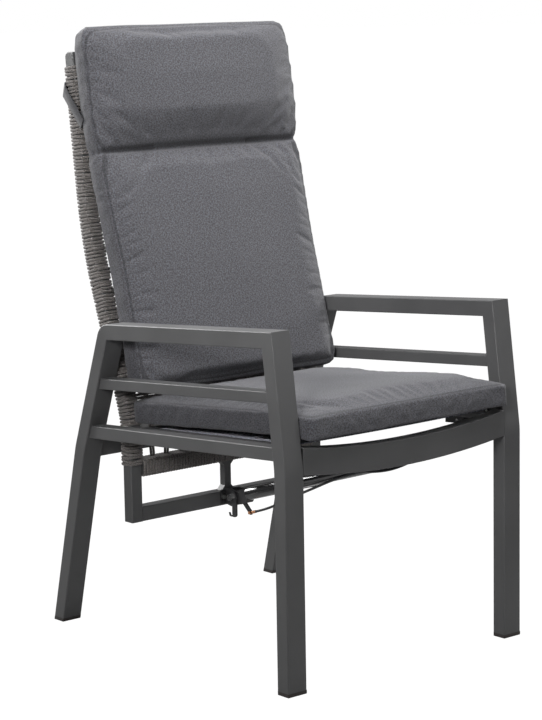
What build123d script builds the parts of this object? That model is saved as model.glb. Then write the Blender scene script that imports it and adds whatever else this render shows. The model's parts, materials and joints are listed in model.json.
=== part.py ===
"""Reclining garden armchair: a welded aluminium frame with a roped back that tilts on a gas spring.

The chair faces -Y. Its origin is on the floor, midway between the front of the seat cushion and
the back of the rear feet. Side profiles are drawn in an upright plane whose x runs rearwards from
the front faces of the front legs, here called the depth, and whose y is the height.
"""

import os
from math import atan2, cos, degrees, hypot, pi, radians, sin, tan

from build123d import *

os.makedirs("parts", exist_ok=True)

# Side frames
OVERALL_W = 570.0
BASE_DEPTH = 694.4
TUBE_W = 42.0
TUBE_T = 29.0
WALL = 2.0
EDGE_R = 2.0
GLIDE_H = 7.0
GLIDE_PLUG_H = 20.0
GLIDE_PLAY = 0.15
FRONT_BEND_Z = 394.0
FRONT_BEND_R = 150.0
ARM_FRONT_DEPTH = 30.4
ARM_FRONT_Z = 629.3
ARM_REAR_DEPTH = 518.7
ARM_REAR_Z = 593.8
ARM_ELBOW_R = 34.0
REAR_BEND_DEPTH = 606.3
REAR_BEND_Z = 354.0
REAR_BEND_R = 150.0

# Rails and crossbars
RAIL_W = 30.0
SIDE_RAIL_H = 20.0
SIDE_RAIL_DROP = 102.8
SEAT_RAIL_H = 24.0
SEAT_RAIL_Z = 433.4
SEAT_RAIL_TILT = 3.7
FRONT_RAIL_H = 48.0
FRONT_RAIL_T = 25.0
FRONT_RAIL_Z = 430.8
FRONT_RAIL_SAG = 17.5
REAR_BAR_H = 44.0
REAR_BAR_T = 22.0
REAR_BAR_LEAN = 17.0
SPREADER_W = 25.0
SPREADER_H = 18.0
SPREADER_SET = 47.5
SPREADER_DROP = 3.0

# Seat sling
SLING_T = 1.6
SLING_FRONT_DEPTH = 45.0
SLING_REAR_SET = 73.5
TRACK_W = 13.0
TRACK_H = 13.0
ROD_R = 2.0
HEM_T = 1.4
TRACK_PLAY = 0.35

# Seat cushion
CUSHION_OVERHANG = 17.0
SEAT_CUSHION_REACH = 12.0
SEAT_CUSHION_GAP = 3.0
SEAT_BOXING = 44.0
SEAT_SEAM_Z = 445.0
SEAT_CUSHION_TILT = 4.5
SEAT_CROWN = 12.0
SEAT_BELLY = 7.3
SEAT_CORNER_R = 20.0
SEAT_CROWN_DRAW = 38.0
SEAT_WAIST = 4.0

# Back frame
POST_SIZE = 25.0
POST_WALL = 2.0
PIVOT_GAP = 13.4
POST_DEPTH = 498.5
POST_BOTTOM_Z = 214.0
POST_BEND_Z = 410.0
POST_BEND_R = 120.0
LOWER_LEAN = 18.4
POST_CREST_Z = 736.4
POST_CREST_R = 849.0
UPPER_LEAN = 6.5
POST_TOP_Z = 1086.0
POST_TOP_R = 10.0
BOTTOM_BAR_H = 28.0
CROSS_TUBE_H = 32.0
CROSS_TUBE_Z = 316.0
STRUT_SIZE = 15.0
STRUT_GUSSET = 9.0

# Rope wraps and woven panel
ROPE_T = 4.0
ROPE_FIT = 0.15
WRAP_BOTTOM_Z = 322.0
WRAP_TOP_Z = 1060.0
CROSS_ROPE_T = 4.8
NET_T = 4.0
NET_BAND = 12.0
NET_COLUMNS = 11
NET_ROWS = 19
NET_FIT = 0.4

# Back cushion and its strap
BACK_CUSHION_GAP = 2.0
BACK_CUSHION_T = 48.0
BACK_CUSHION_SET = 53.2
BACK_CUSHION_Z = 468.5
BACK_CUSHION_LEAN = 14.9
PILLOW_LEAN = 9.4
BODY_LENGTH = 451.0
PILLOW_LENGTH = 230.0
BODY_CROWN = 13.0
PILLOW_CROWN = 24.0
CREASE_CROWN = 1.0
REAR_CROWN = 18.0
STRAP_T = 2.0
STRAP_W = 27.0
STRAP_Z = 1003.0
STRAP_GAP = 0.4
STRAP_END_SET = 113.5
STRAP_END_DROP = 62.0

# Recline pivot
RECLINE_MAX = 30.0
PIVOT_DROP = 11.855
PIVOT_R = 4.0
BUSH_R = 6.0
BUSH_FLANGE_R = 10.0
RUN_FIT = 0.05
SIDE_FIT = 0.3
BOLT_HEAD_R = 6.5
BOLT_HEAD_T = 5.3
WASHER_T = 1.5
WASHER_R = 8.5
INSERT_R = 5.5

# Gas spring
SPRING_FRONT_DEPTH = 52.0
SPRING_FRONT_Z = 360.0
SPRING_REAR_SET = 18.5
SPRING_REAR_Z = 231.5
CYLINDER_R = 11.0
CYLINDER_WALL = 1.5
CYLINDER_START = 15.0
SPRING_ROD_R = 5.0
STROKE_SPARE = 6.5
PISTON_T = 12.0
GUIDE_T = 14.0
COVER_R = 12.5
COVER_WALL = 0.9
COVER_LAP = 12.0
COVER_SEAT = 8.0
EYE_R = 10.0
EYE_W = 14.0
SPRING_BOLT_R = 4.0
HEAD_L = 42.9
HEAD_W = 18.0
HEAD_UP = 11.0
HEAD_DOWN = 16.5
ROD_SEAT = 14.0
EYE_SLIDE = 6.6
EYE_PLAY = 1.2

# Brackets of the gas spring
PLATE_T = 3.0
PLATE_GAP = 0.5
LOBE_R = 17.0
BRACKET_W = 48.0
TAB_W = 13.0
TAB_BACK = 9.0
TAB_DROP = 31.0
HOOK_W = 2.6
HOOK_REACH = 13.0
HOOK_RISE = 5.0
SCREW_R = 2.5
SCREW_L = 9.0
SCREW_HEAD_R = 4.2
SCREW_HEAD_T = 3.0
FRONT_LOBE_R = 11.0
FRONT_PLATE_W = 40.0
FRONT_PLATE_H = 30.0

# Release gear
RELEASE_PIN_R = 1.5
RELEASE_PIN_L = 60.0
RELEASE_PIN_OUT = 3.8
LEVER_T = 3.0
LEVER_W = 9.0
LEVER_CAVITY_L = 16.0
MOUTH_REACH = 8.0
LEVER_TOP = 6.0
LEVER_KNEE = 11.0
LEVER_TAIL = 36.0
LEVER_KICK = 15.0
LEVER_PIN_R = 1.5
BARREL_R = 3.0
BARREL_L = 10.0
WIRE_R = 1.0
CRIMP_R = 2.9
CRIMP_L = 11.0

# Hand lever and cable
HOUSING_DEPTH = 112.0
HOUSING_L = 48.0
HOUSING_W = 26.0
HOUSING_H = 12.5
HOUSING_INSET = 1.0
INNER_CHEEK = 11.0
OUTER_CHEEK = 3.0
LEVER_AXLE_SET = 18.0
LEVER_AXLE_R = 2.0
LEVER_BOSS_R = 5.4
PADDLE_W = 21.5
PADDLE_T = 5.0
PADDLE_BACK = 7.0
PADDLE_L = 48.0
PADDLE_DROP = 11.0
PADDLE_LIP = 4.0
CABLE_R = 2.5
CABLE_SEAT = 10.0
CABLE_LEAD = 31.0
BEND_SHARE = 0.45
CLIP_L = 9.0
CLIP_WALL = 2.0
CLIP_FIT = 0.1

# What follows from the sizes above
HALF_W = OVERALL_W / 2
FRAME_IN = HALF_W - TUBE_W
FRONT_Y = -(BASE_DEPTH - CUSHION_OVERHANG) / 2
RAIL_OUT = HALF_W - (TUBE_W - RAIL_W) / 2
RAIL_IN = RAIL_OUT - RAIL_W
POST_HALF_SPAN = RAIL_IN - PIVOT_GAP
PIVOT_DEPTH = POST_DEPTH + POST_SIZE / 2
PIVOT_Z = SEAT_RAIL_Z - PIVOT_DEPTH * tan(radians(SEAT_RAIL_TILT)) - PIVOT_DROP
SEAT_CUSHION_L = POST_DEPTH + SEAT_CUSHION_REACH
SLING_REAR_DEPTH = POST_DEPTH - SLING_REAR_SET
SPREADER_DEPTH = POST_DEPTH - SPREADER_SET
CUSHION_HALF_W = FRAME_IN - SEAT_CUSHION_GAP
BACK_CUSHION_HALF_W = FRAME_IN - BACK_CUSHION_GAP
BACK_CUSHION_DEPTH = POST_DEPTH - BACK_CUSHION_SET
STRAP_END_DEPTH = POST_DEPTH + STRAP_END_SET
SPRING_REAR_DEPTH = POST_DEPTH - SPRING_REAR_SET
SIDES = (("right", -1), ("left", 1))


def side_plane(x):
    """Upright plane across the chair at x, with the depth and the height as its own axes."""
    return Plane(origin=(x, FRONT_Y, 0), x_dir=(0, 1, 0), z_dir=(1, 0, 0))


def along(start, end, share):
    """Point at a share of the way from start to end."""
    return (start[0] + (end[0] - start[0]) * share, start[1] + (end[1] - start[1]) * share)


def at_height(start, end, z):
    """Point at height z on the line through start and end."""
    return along(start, end, (z - start[1]) / (end[1] - start[1]))


def at_depth(start, end, depth):
    """Point at a depth on the line through start and end."""
    return along(start, end, (depth - start[0]) / (end[0] - start[0]))


def meet(a, b, c, d):
    """Point where the line through a and b meets the line through c and d."""
    ab = (b[0] - a[0], b[1] - a[1])
    cd = (d[0] - c[0], d[1] - c[1])
    share = ((c[0] - a[0]) * cd[1] - (c[1] - a[1]) * cd[0]) / (ab[0] * cd[1] - ab[1] * cd[0])
    return along(a, b, share)


def heading(start, end):
    """Unit direction from start to end."""
    run = hypot(end[0] - start[0], end[1] - start[1])
    return ((end[0] - start[0]) / run, (end[1] - start[1]) / run)


def inset(points, depth):
    """The points of a line moved to its right by depth: mitred corners and level ends."""
    moved = []
    for index, point in enumerate(points):
        before = heading(points[max(index - 1, 0)], points[max(index, 1)])
        after = heading(points[min(index, len(points) - 2)], points[min(index + 1, len(points) - 1)])
        if index in (0, len(points) - 1):
            moved.append((point[0] + depth / before[1], point[1]))
            continue
        normal_sum = (before[1] + after[1], -before[0] - after[0])
        scale = depth / (1 + before[0] * after[0] + before[1] * after[1])
        moved.append((point[0] + normal_sum[0] * scale, point[1] + normal_sum[1] * scale))
    return moved


def link(start, end, width):
    """Round-ended bar between two points, for a sketch."""
    turn = degrees(atan2(end[1] - start[1], end[0] - start[0]))
    with Locations(along(start, end, 1 / 2)):
        SlotCenterToCenter(hypot(end[0] - start[0], end[1] - start[1]), width, rotation=turn)


def lowered(points, drop):
    """The points moved straight down."""
    return [(depth, z - drop) for depth, z in points]


def away_from(edges, cuts):
    """The edges along a tube: those that run across the chair or lie on an end cut are left out."""
    kept = []
    for edge in edges.filter_by(Axis.X, reverse=True):
        middle = edge.center()
        depth, z = middle.Y - FRONT_Y, middle.Z
        gaps = []
        for start, end in cuts:
            way = heading(start, end)
            gaps.append(abs((depth - start[0]) * way[1] - (z - start[1]) * way[0]))
        if min(gaps) > EDGE_R:
            kept.append(edge)
    return kept


# Side frame outline, up the front leg, along the armrest and down the rear leg
rear_foot = at_height((REAR_BEND_DEPTH, REAR_BEND_Z), (BASE_DEPTH, 0), GLIDE_H)
frame_line = [
    (0, GLIDE_H),
    (0, FRONT_BEND_Z),
    (ARM_FRONT_DEPTH, ARM_FRONT_Z),
    (ARM_REAR_DEPTH, ARM_REAR_Z),
    (REAR_BEND_DEPTH, REAR_BEND_Z),
    rear_foot,
]
frame_inner = inset(frame_line, TUBE_T)
bore_outer = inset(frame_line, WALL)
bore_inner = inset(frame_line, TUBE_T - WALL)

# The armrest turns down at its rear, and its tube ends square to the rear leg below that elbow
elbow_turn = radians(
    degrees(atan2(*reversed(heading(frame_line[2], frame_line[3]))))
    - degrees(atan2(*reversed(heading(frame_line[3], frame_line[4]))))
)
elbow_reach = ARM_ELBOW_R * tan(elbow_turn / 2) + WALL
leg_down = heading(frame_line[3], frame_line[4])
elbow_cut = (
    frame_line[3][0] + leg_down[0] * elbow_reach,
    frame_line[3][1] + leg_down[1] * elbow_reach,
)


def across_leg(inward):
    """Point of the elbow's lower end at a distance inwards from the rear leg's back."""
    return (elbow_cut[0] + leg_down[1] * inward, elbow_cut[1] - leg_down[0] * inward)


FRONT_LEG_OUT = [
    frame_line[0], frame_line[1], frame_line[2], frame_inner[2], frame_inner[1], frame_inner[0]
]
FRONT_LEG_BORE = [
    bore_outer[0], bore_outer[1], bore_outer[2], bore_inner[2], bore_inner[1], bore_inner[0]
]
front_bend_radii = [0, FRONT_BEND_R + TUBE_T, 0, 0, FRONT_BEND_R, 0]
front_bore_radii = [0, FRONT_BEND_R + TUBE_T - WALL, 0, 0, FRONT_BEND_R + WALL, 0]
REAR_LEG_OUT = [
    across_leg(0), frame_line[4], frame_line[5], frame_inner[5], frame_inner[4], across_leg(TUBE_T)
]
REAR_LEG_BORE = [
    across_leg(WALL), bore_outer[4], bore_outer[5],
    bore_inner[5], bore_inner[4], across_leg(TUBE_T - WALL),
]
rear_bend_radii = [0, REAR_BEND_R, 0, 0, REAR_BEND_R + TUBE_T, 0]
rear_bore_radii = [0, REAR_BEND_R + WALL, 0, 0, REAR_BEND_R + TUBE_T - WALL, 0]
ARM_OUT = [
    frame_line[2], frame_line[3], across_leg(0), across_leg(TUBE_T), frame_inner[3], frame_inner[2]
]
ARM_BORE = [
    bore_outer[2], bore_outer[3], across_leg(WALL),
    across_leg(TUBE_T - WALL), bore_inner[3], bore_inner[2],
]
arm_radii = [0, ARM_ELBOW_R, 0, 0, ARM_ELBOW_R - TUBE_T, 0]
arm_bore_radii = [0, ARM_ELBOW_R - WALL, 0, 0, ARM_ELBOW_R - TUBE_T + WALL, 0]

mitre_cut = (frame_line[2], frame_inner[2])
front_floor_cut = (frame_line[0], frame_inner[0])
rear_floor_cut = (frame_line[5], frame_inner[5])
leg_top_cut = (across_leg(0), across_leg(TUBE_T))

for side, way in SIDES:
    outer_x = way * HALF_W - (way + 1) / 2 * TUBE_W

    with BuildPart() as front_leg:
        with BuildSketch(side_plane(outer_x)):
            with BuildLine():
                FilletPolyline(*FRONT_LEG_OUT, radius=front_bend_radii, close=True)
            make_face()
        extrude(amount=TUBE_W)
        fillet(away_from(front_leg.edges(), (mitre_cut, front_floor_cut)), EDGE_R)
        with BuildSketch(side_plane(outer_x + WALL)):
            with BuildLine():
                FilletPolyline(*FRONT_LEG_BORE, radius=front_bore_radii, close=True)
            make_face()
        extrude(amount=TUBE_W - 2 * WALL, mode=Mode.SUBTRACT)
    front_leg.part.label = f"{side}_front_leg"
    export_step(front_leg.part, f"parts/{side}_front_leg.step")

    with BuildPart() as armrest:
        with BuildSketch(side_plane(outer_x)):
            with BuildLine():
                FilletPolyline(*ARM_OUT, radius=arm_radii, close=True)
            make_face()
        extrude(amount=TUBE_W)
        fillet(away_from(armrest.edges(), (mitre_cut, leg_top_cut)), EDGE_R)
        with BuildSketch(side_plane(outer_x + WALL)):
            with BuildLine():
                FilletPolyline(*ARM_BORE, radius=arm_bore_radii, close=True)
            make_face()
        extrude(amount=TUBE_W - 2 * WALL, mode=Mode.SUBTRACT)
    armrest.part.label = f"{side}_armrest"
    export_step(armrest.part, f"parts/{side}_armrest.step")

    with BuildPart() as rear_leg:
        with BuildSketch(side_plane(outer_x)):
            with BuildLine():
                FilletPolyline(*REAR_LEG_OUT, radius=rear_bend_radii, close=True)
            make_face()
        extrude(amount=TUBE_W)
        fillet(away_from(rear_leg.edges(), (leg_top_cut, rear_floor_cut)), EDGE_R)
        with BuildSketch(side_plane(outer_x + WALL)):
            with BuildLine():
                FilletPolyline(*REAR_LEG_BORE, radius=rear_bore_radii, close=True)
            make_face()
        extrude(amount=TUBE_W - 2 * WALL, mode=Mode.SUBTRACT)
    rear_leg.part.label = f"{side}_rear_leg"
    export_step(rear_leg.part, f"parts/{side}_rear_leg.step")

# Rail lines between the legs
front_face = (frame_inner[1], frame_inner[2])
rear_face = (frame_inner[3], frame_inner[4])
side_rail_top = lowered((frame_line[2], frame_line[3]), SIDE_RAIL_DROP)
side_rail_bottom = lowered(side_rail_top, SIDE_RAIL_H)
seat_rail_top = [(0, SEAT_RAIL_Z), (BASE_DEPTH, SEAT_RAIL_Z - BASE_DEPTH * tan(radians(SEAT_RAIL_TILT)))]
seat_rail_bottom = lowered(seat_rail_top, SEAT_RAIL_H)
rail_shapes = (
    ("side_rail", side_rail_top, side_rail_bottom),
    ("seat_rail", seat_rail_top, seat_rail_bottom),
)


def rail_outline(top, bottom, wall):
    """Corners of a rail between the legs, or of its bore where wall isn't zero."""
    upper = lowered(top, wall)
    lower = lowered(bottom, -wall)
    return [
        meet(*upper, *front_face),
        meet(*upper, *rear_face),
        meet(*lower, *rear_face),
        meet(*lower, *front_face),
    ]


for side, way in SIDES:
    rail_x = way * RAIL_OUT - (way + 1) / 2 * RAIL_W
    insert_x = way * RAIL_IN
    for rail_name, top, bottom in rail_shapes:
        with BuildPart() as rail:
            with BuildSketch(side_plane(rail_x)):
                with BuildLine():
                    Polyline(*rail_outline(top, bottom, 0), close=True)
                make_face()
            extrude(amount=RAIL_W)
            fillet(away_from(rail.edges(), (front_face, rear_face)), EDGE_R)
            with BuildSketch(side_plane(rail_x + WALL)):
                with BuildLine():
                    Polyline(*rail_outline(top, bottom, WALL), close=True)
                make_face()
            extrude(amount=RAIL_W - 2 * WALL, mode=Mode.SUBTRACT)
            if rail_name == "seat_rail":
                with BuildSketch(side_plane(insert_x)):
                    with Locations((PIVOT_DEPTH, PIVOT_Z)):
                        Circle(INSERT_R)
                extrude(amount=way * WALL, mode=Mode.SUBTRACT)
        rail.part.label = f"{side}_{rail_name}"
        export_step(rail.part, f"parts/{side}_{rail_name}.step")


def sagging_outline(half_width, top_z, bottom_z, sag):
    """Closed outline between two like arcs that hang below their ends."""
    ThreePointArc((-half_width, top_z), (0, top_z - sag), (half_width, top_z))
    Line((half_width, top_z), (half_width, bottom_z))
    ThreePointArc((half_width, bottom_z), (0, bottom_z - sag), (-half_width, bottom_z))
    Line((-half_width, bottom_z), (-half_width, top_z))


# Front rail: it hangs in a shallow arc between the front legs, flush with their faces
with BuildPart() as front_rail:
    with BuildSketch(Plane.XZ.offset(-FRONT_Y)):
        with BuildLine():
            sagging_outline(FRAME_IN, FRONT_RAIL_Z, FRONT_RAIL_Z - FRONT_RAIL_H, FRONT_RAIL_SAG)
        make_face()
    extrude(amount=-FRONT_RAIL_T)
    long_edges = front_rail.edges().filter_by(Axis.Y, reverse=True).filter_by_position(
        Axis.X, -FRAME_IN / 2, FRAME_IN / 2
    )
    fillet(long_edges, EDGE_R)
    with BuildSketch(Plane.XZ.offset(-FRONT_Y - WALL)):
        with BuildLine():
            sagging_outline(
                FRAME_IN, FRONT_RAIL_Z - WALL, FRONT_RAIL_Z - FRONT_RAIL_H + WALL, FRONT_RAIL_SAG
            )
        make_face()
    extrude(amount=-(FRONT_RAIL_T - 2 * WALL), mode=Mode.SUBTRACT)
front_rail.part.label = "front_rail"
export_step(front_rail.part, "parts/front_rail.step")

# Rear crossbar: it leans as the rear legs do at their bend
bend_middle = along(frame_line[4], frame_inner[4], 1 / 2)
crossbar_plane = Plane(
    origin=(-FRAME_IN, FRONT_Y + bend_middle[0], REAR_BEND_Z),
    x_dir=(0, cos(radians(REAR_BAR_LEAN)), sin(radians(REAR_BAR_LEAN))),
    z_dir=(1, 0, 0),
)
with BuildPart() as rear_crossbar:
    with BuildSketch(crossbar_plane):
        RectangleRounded(REAR_BAR_T, REAR_BAR_H, EDGE_R)
        Rectangle(REAR_BAR_T - 2 * WALL, REAR_BAR_H - 2 * WALL, mode=Mode.SUBTRACT)
    extrude(amount=2 * FRAME_IN)
rear_crossbar.part.label = "rear_crossbar"
export_step(rear_crossbar.part, "parts/rear_crossbar.step")


def on_sling(depth, below):
    """Point a distance below the seat rails' top line at a depth."""
    return (depth, at_depth(*seat_rail_top, depth)[1] - below)


# Seat spreader: a flat tube that keeps the seat rails apart behind the sling
spreader_level = on_sling(SPREADER_DEPTH, SPREADER_DROP + SPREADER_H / 2)
spreader_plane = Plane(
    origin=(-RAIL_IN, FRONT_Y + spreader_level[0], spreader_level[1]),
    x_dir=(0, cos(radians(SEAT_RAIL_TILT)), -sin(radians(SEAT_RAIL_TILT))),
    z_dir=(1, 0, 0),
)
with BuildPart() as seat_spreader:
    with BuildSketch(spreader_plane):
        RectangleRounded(SPREADER_W, SPREADER_H, EDGE_R)
        Rectangle(SPREADER_W - 2 * WALL, SPREADER_H - 2 * WALL, mode=Mode.SUBTRACT)
    extrude(amount=2 * RAIL_IN)
seat_spreader.part.label = "seat_spreader"
export_step(seat_spreader.part, "parts/seat_spreader.step")


def level_outline(front, back, low_z, high_z):
    """Corners of the stretch of a leg between two heights, from its two faces' lines."""
    return [
        at_height(*front, low_z),
        at_height(*back, low_z),
        at_height(*back, high_z),
        at_height(*front, high_z),
    ]


# Foot glides: a cap under each leg and a plug in its tube
glide_lines = (
    ("front_glides", (frame_line[0], frame_line[1]), (frame_inner[0], frame_inner[1]), 1),
    ("rear_glides", (frame_line[5], frame_line[4]), (frame_inner[5], frame_inner[4]), -1),
)
for glide_name, face, back_face, inward in glide_lines:
    plug_in = WALL + GLIDE_PLAY
    plug_face = [(depth + inward * plug_in, z) for depth, z in face]
    plug_back = [(depth - inward * plug_in, z) for depth, z in back_face]
    with BuildPart() as glides:
        for side, way in SIDES:
            outer_x = way * HALF_W - (way + 1) / 2 * TUBE_W
            with BuildSketch(side_plane(outer_x)):
                with BuildLine():
                    Polyline(*level_outline(face, back_face, 0, GLIDE_H), close=True)
                make_face()
            extrude(amount=TUBE_W)
        soft_edges = glides.edges().filter_by_position(Axis.Z, 0, GLIDE_H / 2)
        chamfer(soft_edges, EDGE_R / 2)
        for side, way in SIDES:
            outer_x = way * HALF_W - (way + 1) / 2 * TUBE_W
            with BuildSketch(side_plane(outer_x + plug_in)):
                with BuildLine():
                    Polyline(
                        *level_outline(plug_face, plug_back, GLIDE_H, GLIDE_H + GLIDE_PLUG_H),
                        close=True,
                    )
                make_face()
            extrude(amount=TUBE_W - 2 * plug_in)
    glides.part.label = glide_name
    export_step(glides.part, f"parts/{glide_name}.step")

# Sling tracks: each holds the sling's hemmed edge and its rod in a round groove under its top. They
# are drawn in a plane square to the seat rails whose y runs down from the rails' top line
hem_r = ROD_R + HEM_T
groove_r = hem_r + TRACK_PLAY
track_length = hypot(
    SLING_REAR_DEPTH - SLING_FRONT_DEPTH,
    on_sling(SLING_REAR_DEPTH, 0)[1] - on_sling(SLING_FRONT_DEPTH, 0)[1],
)
track_start = on_sling(SLING_FRONT_DEPTH, 0)
track_plane = Plane(
    origin=(0, FRONT_Y + track_start[0], track_start[1]),
    x_dir=(1, 0, 0),
    z_dir=(0, cos(radians(SEAT_RAIL_TILT)), -sin(radians(SEAT_RAIL_TILT))),
)
groove_x = RAIL_IN - TRACK_W / 2
groove_drop = WALL + groove_r
sheet_drop = groove_drop - hem_r + SLING_T / 2

for side, way in SIDES:
    with BuildPart() as track:
        with BuildSketch(track_plane):
            with Locations((way * groove_x, TRACK_H / 2)):
                Rectangle(TRACK_W, TRACK_H)
            with Locations((way * groove_x, groove_drop)):
                Circle(groove_r, mode=Mode.SUBTRACT)
            with Locations((way * (groove_x - TRACK_W / 2), sheet_drop)):
                Rectangle(TRACK_W, SLING_T + 2 * TRACK_PLAY, mode=Mode.SUBTRACT)
        extrude(amount=track_length)
    track.part.label = f"{side}_sling_track"
    export_step(track.part, f"parts/{side}_sling_track.step")

with BuildPart() as sling_rods:
    with BuildSketch(track_plane):
        with Locations((-groove_x, groove_drop), (groove_x, groove_drop)):
            Circle(ROD_R)
    extrude(amount=track_length)
sling_rods.part.label = "sling_rods"
export_step(sling_rods.part, "parts/sling_rods.step")

# Seat sling: a stretched fabric sheet, hemmed round the rods
with BuildPart() as seat_sling:
    with BuildSketch(track_plane):
        with Locations((0, sheet_drop)):
            Rectangle(2 * groove_x, SLING_T)
        with Locations((-groove_x, groove_drop), (groove_x, groove_drop)):
            Circle(hem_r)
            Circle(ROD_R + RUN_FIT, mode=Mode.SUBTRACT)
    extrude(amount=track_length)
seat_sling.part.label = "seat_sling"
export_step(seat_sling.part, "parts/seat_sling.step")


def pillow_outline(half_width, half_length, corner_r, waist):
    """Plan of a boxed cushion: rounded corners, and sides drawn in by a waist between them."""
    side_run = half_length - corner_r
    end_run = half_width - corner_r
    slant = corner_r * (1 - sin(radians(45)))
    ThreePointArc((half_width, -side_run), (half_width - waist, 0), (half_width, side_run))
    ThreePointArc(
        (half_width, side_run), (half_width - slant, half_length - slant), (end_run, half_length)
    )
    ThreePointArc((end_run, half_length), (0, half_length - waist), (-end_run, half_length))
    ThreePointArc(
        (-end_run, half_length), (slant - half_width, half_length - slant), (-half_width, side_run)
    )
    ThreePointArc((-half_width, side_run), (waist - half_width, 0), (-half_width, -side_run))
    ThreePointArc(
        (-half_width, -side_run), (slant - half_width, slant - half_length), (-end_run, -half_length)
    )
    ThreePointArc((-end_run, -half_length), (0, waist - half_length), (end_run, -half_length))
    ThreePointArc(
        (end_run, -half_length), (half_width - slant, slant - half_length), (half_width, -side_run)
    )


# Seat cushion: boxed sides between two seams, a crowned top and a belly that rests on the sling
seat_half_l = SEAT_CUSHION_L / 2
seat_middle_depth = seat_half_l * cos(radians(SEAT_CUSHION_TILT)) - CUSHION_OVERHANG
seat_plane = Plane(
    origin=(
        0,
        FRONT_Y + seat_middle_depth,
        SEAT_SEAM_Z - seat_half_l * sin(radians(SEAT_CUSHION_TILT)),
    ),
    x_dir=(1, 0, 0),
    z_dir=(0, sin(radians(SEAT_CUSHION_TILT)), cos(radians(SEAT_CUSHION_TILT))),
)
# Height above the lower seam, and how far the outline is drawn in there, as shares of the crowns
# and of their draw
crown_shares = ((1.0, 3.4), (0.88, 2.1), (0.62, 1.1), (0.3, 0.4), (0.0, 0.0))
seat_levels = [(-SEAT_BELLY * rise, SEAT_CROWN_DRAW * draw) for rise, draw in crown_shares]
seat_levels += [
    (SEAT_BOXING + SEAT_CROWN * rise, SEAT_CROWN_DRAW * draw)
    for rise, draw in reversed(crown_shares)
]
with BuildPart() as seat_cushion:
    for height, draw in seat_levels:
        with BuildSketch(seat_plane.offset(height)):
            with BuildLine():
                pillow_outline(CUSHION_HALF_W - draw, seat_half_l - draw, SEAT_CORNER_R, SEAT_WAIST)
            make_face()
    loft(ruled=True)
seat_cushion.part.label = "seat_cushion"
export_step(seat_cushion.part, "parts/seat_cushion.step")

# Back post line, up the front face of a post: upright, leaning, then steeper above the crest
post_base = (POST_DEPTH, POST_BOTTOM_Z)
post_bend = (POST_DEPTH, POST_BEND_Z)
post_crest = (
    POST_DEPTH + (POST_CREST_Z - POST_BEND_Z) * tan(radians(LOWER_LEAN)),
    POST_CREST_Z,
)
post_top = (
    post_crest[0] + (POST_TOP_Z - POST_CREST_Z) * tan(radians(UPPER_LEAN)),
    POST_TOP_Z,
)
post_line = [post_base, post_bend, post_crest, post_top]


def post_strip(near, far, low_z=POST_BOTTOM_Z, high_z=POST_TOP_Z, top_r=0):
    """Closed outline along the posts between two distances behind their front face."""
    front = inset(post_line, near)
    back = inset(post_line, far)
    front[0] = (front[0][0], low_z)
    back[0] = (back[0][0], low_z)
    front[3] = at_height(front[2], front[3], high_z)
    back[3] = at_height(back[2], back[3], high_z)
    FilletPolyline(
        front[0], front[1], front[2], front[3], back[3], back[2], back[1], back[0],
        radius=[
            0, POST_BEND_R + POST_SIZE - near, POST_CREST_R + near, 0,
            top_r, POST_CREST_R + far, POST_BEND_R + POST_SIZE - far, 0,
        ],
        close=True,
    )


post_ends = (
    (post_base, (POST_DEPTH + POST_SIZE, POST_BOTTOM_Z)),
    (post_top, (post_top[0] + POST_SIZE, POST_TOP_Z)),
)
post_in = POST_HALF_SPAN - POST_SIZE
for side, way in SIDES:
    post_x = way * POST_HALF_SPAN - (way + 1) / 2 * POST_SIZE
    with BuildPart() as back_post:
        with BuildSketch(side_plane(post_x)):
            with BuildLine():
                post_strip(0, POST_SIZE, top_r=POST_TOP_R)
            make_face()
        extrude(amount=POST_SIZE)
        fillet(away_from(back_post.edges(), post_ends), EDGE_R)
        with BuildSketch(side_plane(post_x + POST_WALL)):
            with BuildLine():
                post_strip(
                    POST_WALL,
                    POST_SIZE - POST_WALL,
                    low_z=POST_BOTTOM_Z + POST_WALL,
                    high_z=POST_TOP_Z - POST_WALL,
                    top_r=POST_TOP_R - POST_WALL,
                )
            make_face()
        extrude(amount=POST_SIZE - 2 * POST_WALL, mode=Mode.SUBTRACT)
        with BuildSketch(side_plane(post_x)):
            with Locations((PIVOT_DEPTH, PIVOT_Z)):
                Circle(BUSH_R)
        extrude(amount=POST_SIZE, mode=Mode.SUBTRACT)
    back_post.part.label = f"{side}_back_post"
    export_step(back_post.part, f"parts/{side}_back_post.step")

# Top rail, wrapped crossbar tube and bottom bar of the back, between its posts
top_rail_z = POST_TOP_Z - POST_SIZE / 2
top_rail_depth = along(post_crest, post_top, (top_rail_z - POST_CREST_Z) / (POST_TOP_Z - POST_CREST_Z))[0]
top_rail_plane = Plane(
    origin=(
        -post_in,
        FRONT_Y + top_rail_depth + POST_SIZE / 2 / cos(radians(UPPER_LEAN)),
        top_rail_z,
    ),
    x_dir=(0, cos(radians(UPPER_LEAN)), -sin(radians(UPPER_LEAN))),
    z_dir=(1, 0, 0),
)
cross_depth = POST_DEPTH + POST_SIZE / 2
cheek_in = HEAD_W / 2 + PLATE_GAP
cheek_out = cheek_in + PLATE_T
screw_x = (cheek_out + BRACKET_W / 2) / 2
cross_plane = side_plane(-post_in)
cross_bars = (
    ("back_top_rail", top_rail_plane, (0, 0), POST_SIZE - 2 * EDGE_R),
    ("back_cross_tube", cross_plane, (cross_depth, CROSS_TUBE_Z), CROSS_TUBE_H),
    ("back_bottom_bar", cross_plane, (cross_depth, POST_BOTTOM_Z + BOTTOM_BAR_H / 2), BOTTOM_BAR_H),
)
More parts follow.
